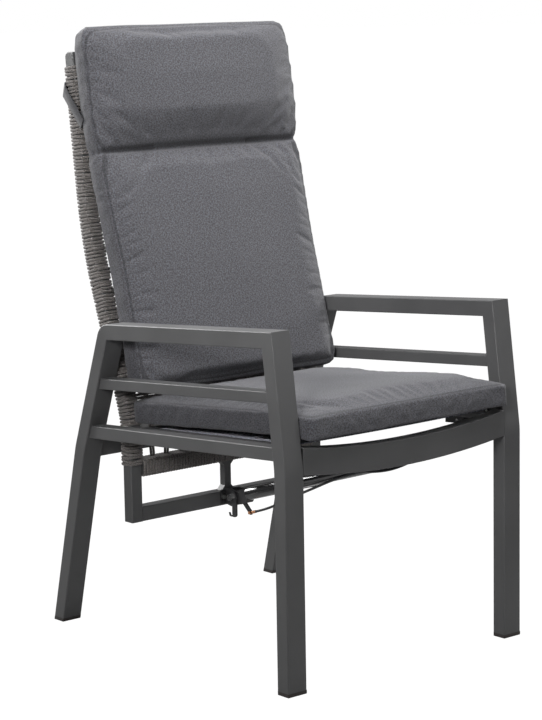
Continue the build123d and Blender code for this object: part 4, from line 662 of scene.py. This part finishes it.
rails = (
    ("cross_tube", CROSS_TUBE, {"Width": CROSS_H + ROPE_T, "Corner": 0.005, "Seed": 11}),
    ("top_rail", TOP_RAIL, {"Width": TOP_RAIL_H + ROPE_T, "Corner": 0.004, "Seed": 14}),
)
for rail, place, sizes in rails:
    line = [at(x, *place) for x in (-POST_IN + ROPE_T, POST_IN - ROPE_T)]
    wrap = turns(f"{rail}_rope_turns", line, {"Depth": POST_SIZE + ROPE_T, **sizes})
    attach(wrap, "backrest")
    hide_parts(f"{rail}_wrap")

# Woven panel: pairs of ropes each way, over one and under the next
NET_SWING = 0.0017
NET_ROPE_T = 0.0032
NET_ROPE_W = 0.0060
NET_BAND = 0.012
NET_RUN_ON = 0.004
NET_SIDE_GAP = 0.001
STEPS_A_CROSSING = 4
column_pitch = (2 * NET_HALF_W + NET_BAND) / (NET_COLUMNS + 1)
row_pitch = (NET_HIGH - NET_LOW + NET_BAND) / (NET_ROWS + 1)
column_xs = [column_pitch * (column - (NET_COLUMNS - 1) / 2) for column in range(NET_COLUMNS)]
row_zs = [
    (NET_LOW + NET_HIGH) / 2 + row_pitch * (row - (NET_ROWS - 1) / 2) for row in range(NET_ROWS)
]
net_lines, net_lays = [], []
for column, x in enumerate(column_xs):
    for pair in (-1, 1):
        line, lay = [], []
        steps = STEPS_A_CROSSING * (NET_ROWS + 1)
        for step in range(steps + 1):
            z = NET_LOW - NET_RUN_ON + (NET_HIGH - NET_LOW + 2 * NET_RUN_ON) * step / steps
            phase = (z - row_zs[0]) / row_pitch + column
            swing = NET_SWING * math.cos(math.pi * phase)
            line.append(post_point(x + pair * ROPE_PITCH / 2, z, swing))
            lay.append(Vector((1, 0, 0)))
        net_lines.append(line)
        net_lays.append(lay)
for row, row_z in enumerate(row_zs):
    way = on_post(row_z)[1]
    for pair in (-1, 1):
        line = []
        steps = STEPS_A_CROSSING * (NET_COLUMNS + 1)
        reach = POST_IN - NET_SIDE_GAP
        for step in range(steps + 1):
            x = -reach + 2 * reach * step / steps
            phase = (x - column_xs[0]) / column_pitch + row
            z = row_z + pair * ROPE_PITCH / 2 * way[1]
            line.append(post_point(x, z, -NET_SWING * math.cos(math.pi * phase)))
        net_lines.append(line)
        net_lays.append([Vector((0, way[0], way[1]))] * len(line))
net = from_tree(
    "woven_rope_panel",
    line_mesh("net_lines", net_lines, net_lays),
    rope_tree,
    {"Rope Width": NET_ROPE_W, "Rope Thickness": NET_ROPE_T},
    "rope",
)
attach(net, "backrest")
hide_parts("lower_woven_panel", "upper_woven_panel")

# Cushions
WELD_DISTANCE = 0.00002


def soft_copy(name, node_name, voxel):
    """A closed, evenly meshed copy of a soft solid."""
    copy = new_piece(name, nodes_of[node_name].data.copy())
    shell = bmesh.new()
    shell.from_mesh(copy.data)
    bmesh.ops.remove_doubles(shell, verts=shell.verts, dist=WELD_DISTANCE)
    shell.to_mesh(copy.data)
    shell.free()
    remesh = copy.modifiers.new("even", "REMESH")
    remesh.mode = "VOXEL"
    remesh.voxel_size = voxel
    copy.data = evaluated_mesh(copy)
    copy.modifiers.clear()
    return copy


SHRINK = 0.002
LEAST_SWELL = 0.0005
MOST_SLIDE = 0.003
SWELL_FRAMES = 20
CLOTH_SLACK = 0.02


def swell(piece, held, room, pressure):
    """Cloth under pressure: held gives each point's grip and room how far out it may go."""
    start = [vertex.co.copy() for vertex in piece.data.vertices]
    normals = [vertex.normal.copy() for vertex in piece.data.vertices]
    grip = piece.vertex_groups.new(name="grip")
    for index, place in enumerate(start):
        grip.add([index], held(place), "REPLACE")
    cover = piece.modifiers.new("cover", "CLOTH")
    cover.settings.quality = 6
    cover.settings.mass = 0.25
    cover.settings.tension_stiffness = 12
    cover.settings.compression_stiffness = 12
    cover.settings.shear_stiffness = 4
    cover.settings.bending_stiffness = 0.4
    cover.settings.use_pressure = True
    cover.settings.uniform_pressure_force = pressure
    cover.settings.shrink_min = -CLOTH_SLACK
    cover.settings.vertex_group_mass = "grip"
    cover.settings.effector_weights.gravity = 0
    cover.point_cache.frame_start = 1
    cover.point_cache.frame_end = SWELL_FRAMES
    for step in range(1, SWELL_FRAMES + 1):
        scene.frame_set(step)
    swollen = evaluated_mesh(piece)
    scene.frame_set(1)
    piece.modifiers.clear()
    piece.vertex_groups.clear()
    for vertex, place, normal, after in zip(piece.data.vertices, start, normals, swollen.vertices):
        move = after.co - place
        out = move.dot(normal)
        slide = move - normal * out
        if slide.length > MOST_SLIDE:
            slide *= MOST_SLIDE / slide.length
        vertex.co = place + slide + normal * max(LEAST_SWELL, min(out, room(place, normal)))
    bpy.data.meshes.remove(swollen)


def fill_out(piece, held, room, pressure):
    normals = [vertex.normal.copy() for vertex in piece.data.vertices]
    for vertex, normal in zip(piece.data.vertices, normals):
        vertex.co -= normal * SHRINK
    swell(piece, held, room, pressure)


def ripple(piece, height, waves_per_metre, seed):
    """Low uneven waves, as in a cover that doesn't quite fit."""
    shift = Vector((seed * 3.1, seed * 1.7, seed * 2.3))
    normals = [vertex.normal.copy() for vertex in piece.data.vertices]
    for vertex, normal in zip(piece.data.vertices, normals):
        vertex.co += normal * noise.noise(vertex.co * waves_per_metre + shift) * height


def subdivide(piece):
    """Gives a cover finer faces, once."""
    modifier = piece.modifiers.new("fine", "SUBSURF")
    modifier.levels = 1
    modifier.render_levels = 1
    piece.data = evaluated_mesh(piece)
    piece.modifiers.clear()


def sew(piece, seams):
    """Presses seam lines into a cover and marks it for the painted shade of its finish: seams
    gives, for a place, how deep it lies, how far it is from either seam and how much painted shade
    it gets."""
    marks = piece.data.attributes.new("painted_shade", "FLOAT_VECTOR", "POINT")
    normals = [vertex.normal.copy() for vertex in piece.data.vertices]
    for index, (vertex, normal) in enumerate(zip(piece.data.vertices, normals)):
        depth, first, second, dark = seams(vertex.co.copy(), normal)
        vertex.co -= normal * depth
        marks.data[index].vector = (first, second, dark)


EAR_REACH = 0.006
EAR_WIDTH = 0.03


def ears(piece, corners):
    """Lets a cushion's corners stand out: each has a foot, a way along it and a way out."""
    for vertex in piece.data.vertices:
        for foot, along, out in corners:
            off = vertex.co - foot
            off -= along * off.dot(along)
            vertex.co += out * (EAR_REACH * bell(off.length, EAR_WIDTH))


seat_origin = at(
    0,
    SEAT_CUSHION_L / 2 * math.cos(SEAT_CUSHION_TILT) - CUSHION_OVERHANG,
    SEAT_SEAM_Z - SEAT_CUSHION_L / 2 * math.sin(SEAT_CUSHION_TILT),
)
seat_up, seat_back = leaning(SEAT_CUSHION_TILT)
SEAM_GRIP = 0.96
GRIP_WIDTH = 0.004
SEAM_DEPTH = 0.0014
SEAM_WIDTH = 0.003
SEAT_SEAM_IN = 0.0005
HIGH_GRIP_IN = 0.002
LOW_GRIP_IN = 0.001
SEAT_ROOM = 0.008
SEAT_ROOM_BELOW = 0.002
FACES_AWAY = 0.3
SEAT_DROOP = 0.006
DROOP_REACH = 0.11
DROOP_SIDE_LOSS = 0.35
SEAT_CORNER_X = 0.24
SEAT_CORNER_OUT = (0.45, -0.9)


def seat_held(place):
    """How firmly the seat cushion's seams hold a point."""
    rise = (place - seat_origin).dot(seat_up)
    high, low = rise - SEAT_BOXING + HIGH_GRIP_IN, rise - LOW_GRIP_IN
    return min(1.0, SEAM_GRIP * max(bell(high, GRIP_WIDTH), bell(low, GRIP_WIDTH)))


def seat_room(place, normal):
    """How far out a point of the seat cushion may swell."""
    return SEAT_ROOM_BELOW if normal.z < -FACES_AWAY else SEAT_ROOM


def seat_seams(place, normal):
    """The seat cushion's two boxing seams, for sew."""
    rise = (place - seat_origin).dot(seat_up)
    high, low = rise - SEAT_BOXING + SEAT_SEAM_IN, rise + SEAT_SEAM_IN
    return SEAM_DEPTH * max(bell(high, SEAM_WIDTH), bell(low, SEAM_WIDTH)), high, low, 0.0


def droop(piece):
    """Lets the front of the seat cushion, which nothing holds up, hang a little."""
    for vertex in piece.data.vertices:
        short_of = 1.0 - (vertex.co - seat_front).dot(seat_back) / DROOP_REACH
        if short_of > 0:
            middle = 1.0 - DROOP_SIDE_LOSS * abs(vertex.co.x) / BACK_HALF_W
            vertex.co.z -= SEAT_DROOP * middle * min(short_of, 1.0) ** 2


seat_front = seat_origin - seat_back * (SEAT_CUSHION_L / 2)
seat_corners = []
for way in (-1, 1):
    foot = seat_front + Vector((way * SEAT_CORNER_X, 0, 0))
    out = Vector((way * SEAT_CORNER_OUT[0], SEAT_CORNER_OUT[1], 0))
    seat_corners.append((foot, seat_up, out))
seat_cushion = soft_copy("seat_cushion_cover", "seat_cushion", voxel=0.0055)
fill_out(seat_cushion, seat_held, seat_room, pressure=4.0)
ripple(seat_cushion, height=0.0016, waves_per_metre=9.0, seed=2)
subdivide(seat_cushion)
sew(seat_cushion, seat_seams)
ears(seat_cushion, seat_corners)
droop(seat_cushion)
smooth(seat_cushion)
finish(seat_cushion, "cushion_fabric")
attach(seat_cushion, "frame")
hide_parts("seat_cushion")

back_base = at(0, *BACK_BASE)
body_up, body_rear = leaning(BACK_LEAN)
pillow_up, pillow_rear = leaning(PILLOW_LEAN)
crease_point = back_base + body_up * BODY_LENGTH


def back_place(place):
    """Where a point is on the back cushion: how far up it from the crease, and how far behind its
    front seams."""
    from_crease = place - crease_point
    up = from_crease.dot(pillow_up)
    if up > 0:
        return up, from_crease.dot(pillow_rear)
    return from_crease.dot(body_up), from_crease.dot(body_rear)


PILLOW_ROOM = 0.013
BODY_ROOM = 0.010
BACK_ROOM_BEHIND = 0.003
BACK_GRIP_IN = 0.003
BACK_GRIP_REACH = 0.012
CREASE_GRIP = 0.006
BACK_SEAM_IN = 0.0015
SEAM_REACH = 0.02
END_REACH = 0.03
CREASE_UP = 0.001
CREASE_DEPTH = 0.0075
CREASE_WIDTH = 0.0048
# Painted shade in the crease under the pillow: its strength and width
CREASE_SHADE = 0.75
CREASE_SHADE_WIDTH = 0.003
CREASE_OVER = 0.003
NO_SEAM = 1.0


def back_held(place):
    """How firmly the back cushion's side seams and its crease hold a point."""
    up, behind = back_place(place)
    grip = 0.0
    if abs(place.x) > BACK_HALF_W - BACK_GRIP_REACH:
        front, rear = behind - BACK_GRIP_IN, behind - BACK_T + BACK_GRIP_IN
        grip = max(bell(front, GRIP_WIDTH), bell(rear, GRIP_WIDTH))
    if behind < BACK_T / 2:
        grip = max(grip, bell(up, CREASE_GRIP))
    return min(1.0, SEAM_GRIP * grip)


def back_room(place, normal):
    """How far out a point of the back cushion may swell."""
    if normal.y > FACES_AWAY:
        return BACK_ROOM_BEHIND
    return PILLOW_ROOM if back_place(place)[0] > 0 else BODY_ROOM


def back_seams(place, normal):
    """The back cushion's two boxing seams and its crease, with painted shade in the crease, for
    sew.
    """
    up, behind = back_place(place)
    dark = 0.0
    front, rear = behind - BACK_SEAM_IN, behind - BACK_T + BACK_SEAM_IN
    inside = abs(place.x) < BACK_HALF_W - SEAM_REACH
    if inside and -BODY_LENGTH + END_REACH < up < PILLOW_LENGTH - END_REACH:
        front = rear = NO_SEAM
    depth = SEAM_DEPTH * max(bell(front, SEAM_WIDTH), bell(rear, SEAM_WIDTH))
    if behind < BACK_T / 2 and normal.y < 0:
        from_side = (BACK_HALF_W + CREASE_OVER - abs(place.x)) / SEAM_REACH
        fold = min(1.0, max(0.0, from_side))
        depth = max(depth, CREASE_DEPTH * fold * bell(up - CREASE_UP, CREASE_WIDTH))
        # Painted shade darkens the crease
        dark = CREASE_SHADE * fold * bell(up - CREASE_UP, CREASE_SHADE_WIDTH)
    return depth, front, rear, dark


BODY_GROWTH = 0.014
BODY_FROM = -0.22
BODY_OVER = 0.15
PILLOW_GROWTH = 0.026
PILLOW_OVER = 0.07
TOP_RISE = 0.007
TOP_FROM = 0.12
TOP_OVER = 0.1
REAR_RISE_SHARE = 0.4


def plump(piece):
    """Fills the pillow and the body above the arms out to the sides, and the pillow upwards."""
    for vertex in piece.data.vertices:
        up, behind = back_place(vertex.co)
        ahead = min(max(1.0 - behind / BACK_T, 0.0), 1.0)
        grow = BODY_GROWTH * ramp((up - BODY_FROM) / BODY_OVER)
        if up > 0:
            grow += PILLOW_GROWTH * ramp(up / PILLOW_OVER)
        vertex.co.x *= 1 + grow * ahead
        share = REAR_RISE_SHARE + (1.0 - REAR_RISE_SHARE) * ahead
        vertex.co += pillow_up * (TOP_RISE * ramp((up - TOP_FROM) / TOP_OVER) * share)


back_cushion = soft_copy("back_cushion_cover", "back_cushion", voxel=0.006)
fill_out(back_cushion, back_held, back_room, pressure=6.0)
ripple(back_cushion, height=0.0018, waves_per_metre=8.0, seed=5)
subdivide(back_cushion)
sew(back_cushion, back_seams)
plump(back_cushion)
smooth(back_cushion)
finish(back_cushion, "cushion_fabric")
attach(back_cushion, "backrest")
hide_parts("back_cushion")

# Strap: a doubled band of the cover's cloth, from one side seam round the back to the other. It
# rounds the posts' corners in small steps and sags a little towards its middle
STRAP_W = 0.027
STRAP_T = 0.002
STRAP_GAP = 0.0004
STRAP_Z = 1.003
STRAP_END_DEPTH = 0.612
STRAP_END_DROP = 0.062
STRAP_BEND_X = 0.2
strap_x = BACK_HALF_W + STRAP_GAP + STRAP_T / 2


def strap_point(x, z, behind):
    """A point at a distance behind the front faces of the posts' upper runs."""
    way = (Vector(POST_LINE[3]) - Vector(POST_LINE[2])).normalized()
    share = (z - POST_LINE[2][1]) / (POST_LINE[3][1] - POST_LINE[2][1])
    depth = POST_LINE[2][0] + (POST_LINE[3][0] - POST_LINE[2][0]) * share
    return at(x, depth + behind / way[1], z)


strap_middle_z = STRAP_Z + STRAP_W / 2
strap_behind = POST_SIZE + ROPE_T + STRAP_GAP + STRAP_T / 2
strap_end = at(strap_x, STRAP_END_DEPTH, strap_middle_z - STRAP_END_DROP)
corner = strap_point(strap_x, strap_middle_z, strap_behind)
strap_half = [strap_end, strap_end.lerp(corner, 0.5), strap_end.lerp(corner, 0.93)]
strap_half += [
    strap_point(strap_x - 0.003, strap_middle_z + 0.001, strap_behind + 0.0006),
    strap_point(strap_x - 0.02, strap_middle_z, strap_behind + 0.0003),
    strap_point(strap_x * 0.5, strap_middle_z - 0.0015, strap_behind - 0.0002),
    strap_point(0, strap_middle_z - 0.002, strap_behind - 0.0002),
]
strap_line = strap_half + [Vector((-p.x, p.y, p.z)) for p in reversed(strap_half[:-1])]
strap_lays = []
for index, place in enumerate(strap_line):
    ahead = strap_line[min(index + 1, len(strap_line) - 1)] - strap_line[max(index - 1, 0)]
    outward = Vector((0, 1, 0.1))
    if abs(place.x) > STRAP_BEND_X:
        outward = Vector((place.x / strap_x, 0.35, 0))
    strap_lays.append(ahead.cross(outward).normalized())
strap_lays = [lay if lay.z > 0 else -lay for lay in strap_lays]
strap = from_tree(
    "cushion_strap_band",
    line_mesh("strap_line", [strap_line], [strap_lays]),
    rope_tree,
    {"Rope Width": STRAP_W, "Rope Thickness": STRAP_T},
    "cushion_fabric",
)
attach(strap, "backrest")
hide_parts("cushion_strap")

# Sling: a stretched sheet that sags a little between its tracks
TRACK_IN = 0.0065
SLING_DROP = 0.00315
SLING_T = 0.0016
SLING_SAG = 0.004
SAG_FULLNESS = 0.8
SAG_END_SHARE = 0.55
SLING_ACROSS = 48
SLING_ALONG = 24
track_x = RAIL_IN - TRACK_IN
sling_up, sling_back = leaning(SEAT_TILT)
sling_start = at(0, SLING_FRONT, SEAT_RAIL_Z - SLING_FRONT * math.tan(SEAT_TILT))
sling_length = (SLING_REAR - SLING_FRONT) / math.cos(SEAT_TILT)
sheet = bmesh.new()
rows = []
for along_step in range(SLING_ALONG + 1):
    v = along_step / SLING_ALONG
    deepest = SLING_SAG * (SAG_END_SHARE + (1 - SAG_END_SHARE) * math.sin(math.pi * v))
    row = []
    for across_step in range(SLING_ACROSS + 1):
        u = across_step / SLING_ACROSS
        x = -track_x + 2 * track_x * u
        sag = deepest * math.sin(math.pi * u) ** SAG_FULLNESS
        place = sling_start + sling_back * (sling_length * v) - sling_up * (SLING_DROP + sag)
        row.append(sheet.verts.new((x, place.y, place.z)))
    rows.append(row)
for near, far in zip(rows, rows[1:]):
    for a, b, c, d in zip(near, near[1:], far[1:], far):
        sheet.faces.new((a, b, c, d))
sling_mesh = bpy.data.meshes.new("sling_sheet")
sheet.to_mesh(sling_mesh)
sheet.free()
sling = new_piece("seat_sling_sheet", sling_mesh)
thickness = sling.modifiers.new("thickness", "SOLIDIFY")
thickness.thickness = SLING_T
thickness.offset = 0
sling.data = evaluated_mesh(sling)
sling.modifiers.clear()
smooth(sling)
finish(sling, "sling_fabric")
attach(sling, "frame")
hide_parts("seat_sling")

# Cable: a spline led by the route's points, in two pieces that meet on the gas cylinder
CABLE_R = 0.0025
CABLE_IN_CRIMP = 0.004
CABLE_LEAD = 0.031
CABLE_SEAT = 0.01
SIDE_FIT = 0.0003
FRONT_RAIL_T = 0.025
CRIMP_SHORT = 0.0507
COVER_R = 0.0125
LOBE_R = 0.011
spring_run = Vector((SPRING_REAR[0] - SPRING_FRONT[0], SPRING_REAR[1] - SPRING_FRONT[1]))
spring_way = spring_run.normalized()


def on_spring(reach, below):
    """The depth and height of a point down the gas spring and below its axis."""
    return (
        SPRING_FRONT[0] + spring_way[0] * reach + spring_way[1] * below,
        SPRING_FRONT[1] + spring_way[1] * reach - spring_way[0] * below,
    )


crimp_end = spring_run.length - CRIMP_SHORT
LEVER_TAIL = 0.036
UNDER_SPRING = (
    (0.692, 0.12, 2.3), (0.565, 0.32, 1.66), (0.445, 0.8, 1.22), (0.348, 1.2, 0.81),
    (0.247, 1.28, 0.47), (0.158, 1.28, 0.42), (0.102, 1.6, 0.45), (0.048, 2.0, 0.66),
)
ROUND_BRACKET = ((1.77, 0.55, 0.91), (0.36, 1.68, 0.59))
ALONG_RAIL = (
    (0.096, 2.6, -0.06), (0.24, 3.6, 0.15), (0.39, 4.0, 0.34), (0.546, 4.4, 0.49),
    (0.7, 6.0, 0.62), (0.827, 10.8, 0.77), (0.93, 19.6, 0.92),
)
CABLE_ENTRY = (0.2555, 0.112, 0.39578)
entry_x, entry_depth, entry_z = CABLE_ENTRY
rear_route = [
    at(0, *on_spring(crimp_end + CABLE_IN_CRIMP, LEVER_TAIL)),
    at(0, *on_spring(crimp_end - CABLE_LEAD, LEVER_TAIL)),
]
under = [
    at(-COVER_R * across, *on_spring(spring_run.length * share, COVER_R * below))
    for share, across, below in UNDER_SPRING
]
rear_route += under[:6]
front_route = under[5:]
for across, ahead, below in ROUND_BRACKET:
    front_route.append(
        at(-LOBE_R * across, SPRING_FRONT[0] - LOBE_R * ahead, SPRING_FRONT[1] - LOBE_R * below)
    )
for share, behind, rise in ALONG_RAIL:
    front_route.append(
        at(
            RAIL_IN * share,
            FRONT_RAIL_T + CABLE_R * behind,
            SPRING_FRONT[1] + (entry_z - SPRING_FRONT[1]) * rise,
        )
    )
front_route.append(at(entry_x, entry_depth - CABLE_SEAT, entry_z))
front_route.append(at(entry_x, entry_depth + CABLE_SEAT - SIDE_FIT, entry_z))


def spline_cord(name, route):
    """A cable whose spline has the route's points as its control points, from a start point to an
    end point."""
    curve = bpy.data.curves.new(name + "_line", "CURVE")
    curve.dimensions = "3D"
    spline = curve.splines.new("NURBS")
    spline.points.add(len(route) - 1)
    for point, place in zip(spline.points, route):
        point.co = (*place, 1.0)
    spline.order_u = 3
    spline.use_endpoint_u = True
    holder = new_piece(name + "_line", curve)
    line = evaluated_mesh(holder)
    curve.bevel_depth = CABLE_R
    curve.bevel_resolution = 3
    curve.use_fill_caps = True
    cable = new_piece(name, evaluated_mesh(holder))
    bpy.data.objects.remove(holder)
    bpy.data.meshes.remove(line)
    smooth(cable)
    finish(cable, "cable_sheath")
    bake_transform(cable)
    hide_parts("release_cable")


spline_cord("release_cable_rear", rear_route)
spline_cord("release_cable_front", front_route)

# Studio
FLOOR_REACH = 60.0
FLOOR_TONE = 0.32
FLOOR_GLOW = 1.1
FLOOR_GLOW_SHARE = 0.92
AMBIENT = 0.2
floor_mesh = bpy.data.meshes.new("floor")
floor_corners = [
    (x * FLOOR_REACH, y * FLOOR_REACH, 0) for x, y in ((-1, -1), (1, -1), (1, 1), (-1, 1))
]
floor_mesh.from_pydata(floor_corners, [], [(0, 1, 2, 3)])
floor = new_piece("studio_floor", floor_mesh)
floor_material = bpy.data.materials.new("Studio Floor")
floor_material.use_nodes = True
floor_wiring = Wiring(floor_material.node_tree)
floor_shader = floor_material.node_tree.nodes["Principled BSDF"]
preset(floor_shader, {"Base Color": (FLOOR_TONE, FLOOR_TONE, FLOOR_TONE, 1.0), "Roughness": 0.9})
floor_glow = floor_wiring.add("ShaderNodeEmission")
preset(floor_glow, {"Strength": FLOOR_GLOW})
floor_rays = floor_wiring.add("ShaderNodeLightPath")
floor_seen = floor_wiring.math("MULTIPLY", floor_rays.outputs["Is Camera Ray"], FLOOR_GLOW_SHARE)
floor_mix = floor_wiring.add("ShaderNodeMixShader")
floor_wiring.join(floor_seen, floor_mix.inputs[0])
floor_wiring.join(floor_shader.outputs[0], floor_mix.inputs[1])
floor_wiring.join(floor_glow.outputs[0], floor_mix.inputs[2])
floor_output = floor_material.node_tree.nodes["Material Output"]
floor_wiring.join(floor_mix.outputs[0], floor_output.inputs["Surface"])
floor.data.materials.append(floor_material)

world = bpy.data.worlds.new("Studio")
scene.world = world
world.use_nodes = True
sky = Wiring(world.node_tree)
background = world.node_tree.nodes["Background"]
rays = sky.add("ShaderNodeLightPath")
seen = sky.math("MAXIMUM", rays.outputs["Is Camera Ray"], rays.outputs["Is Transmission Ray"])
brightness = sky.math("ADD", sky.math("MULTIPLY", seen, 1.0 - AMBIENT), AMBIENT)
sky.join(brightness, background.inputs["Strength"])
preset(background, {"Color": (1.0, 1.0, 1.0, 1.0)})


def lamp(name, place, target, size, power, spread):
    """A rectangular soft light aimed at a point, whose beam opens by a spread in degrees."""
    light = bpy.data.lights.new(name, "AREA")
    light.spread = math.radians(spread)
    light.shape = "RECTANGLE"
    light.size, light.size_y = size
    light.energy = power
    holder = bpy.data.objects.new(name, light)
    holder.location = place
    holder.rotation_euler = (Vector(target) - Vector(place)).to_track_quat("-Z", "Y").to_euler()
    scene.collection.objects.link(holder)


lamp("key", (-2.4, -1.3, 1.7), (-0.1, -0.1, 1.0), (1.2, 0.8), 10, 45)
lamp("fill", (1.6, -2.6, 1.5), (0, 0, 0.95), (1.2, 1.0), 1.3, 50)
lamp("top", (0.1, -0.3, 2.3), (0, 0.1, 0.5), (1.4, 1.4), 28, 100)
lamp("rear", (-0.6, 2.6, 1.8), (0, 0, 0.7), (1.6, 1.4), 30, 80)
lamp("side", (2.7, 0.5, 1.5), (0, 0, 0.7), (1.2, 1.2), 16, 80)

# Camera: the photograph's place, turn and lens, with its frame 720 pixels high
CAMERA_TURN = math.radians(-40.158)
CAMERA_TILT = math.radians(9.277)
CAMERA_ROLL = math.radians(-0.979)
CAMERA_PLACE = (-2.75698, -3.23725, 1.20880)
FOCAL_PIXELS, FRAME_PIXELS = 2316.19, 720
SENSOR_H = 36
back_way = Vector((
    math.sin(CAMERA_TURN) * math.cos(CAMERA_TILT),
    -math.cos(CAMERA_TURN) * math.cos(CAMERA_TILT),
    math.sin(CAMERA_TILT),
))
level = (-back_way).cross(Vector((0, 0, 1))).normalized()
upward = level.cross(-back_way).normalized()
across = level * math.cos(CAMERA_ROLL) + upward * math.sin(CAMERA_ROLL)
upright = upward * math.cos(CAMERA_ROLL) - level * math.sin(CAMERA_ROLL)
camera_data = bpy.data.cameras.new("camera")
camera_data.sensor_fit = "VERTICAL"
camera_data.sensor_height = SENSOR_H
camera_data.lens = SENSOR_H * FOCAL_PIXELS / FRAME_PIXELS
camera_data.clip_end = 60
camera = bpy.data.objects.new("camera", camera_data)
camera.matrix_world = Matrix.Translation(CAMERA_PLACE) @ Matrix(
    (across, upright, back_way)
).transposed().to_4x4()
scene.collection.objects.link(camera)
scene.camera = camera

scene.view_settings.view_transform = "Standard"
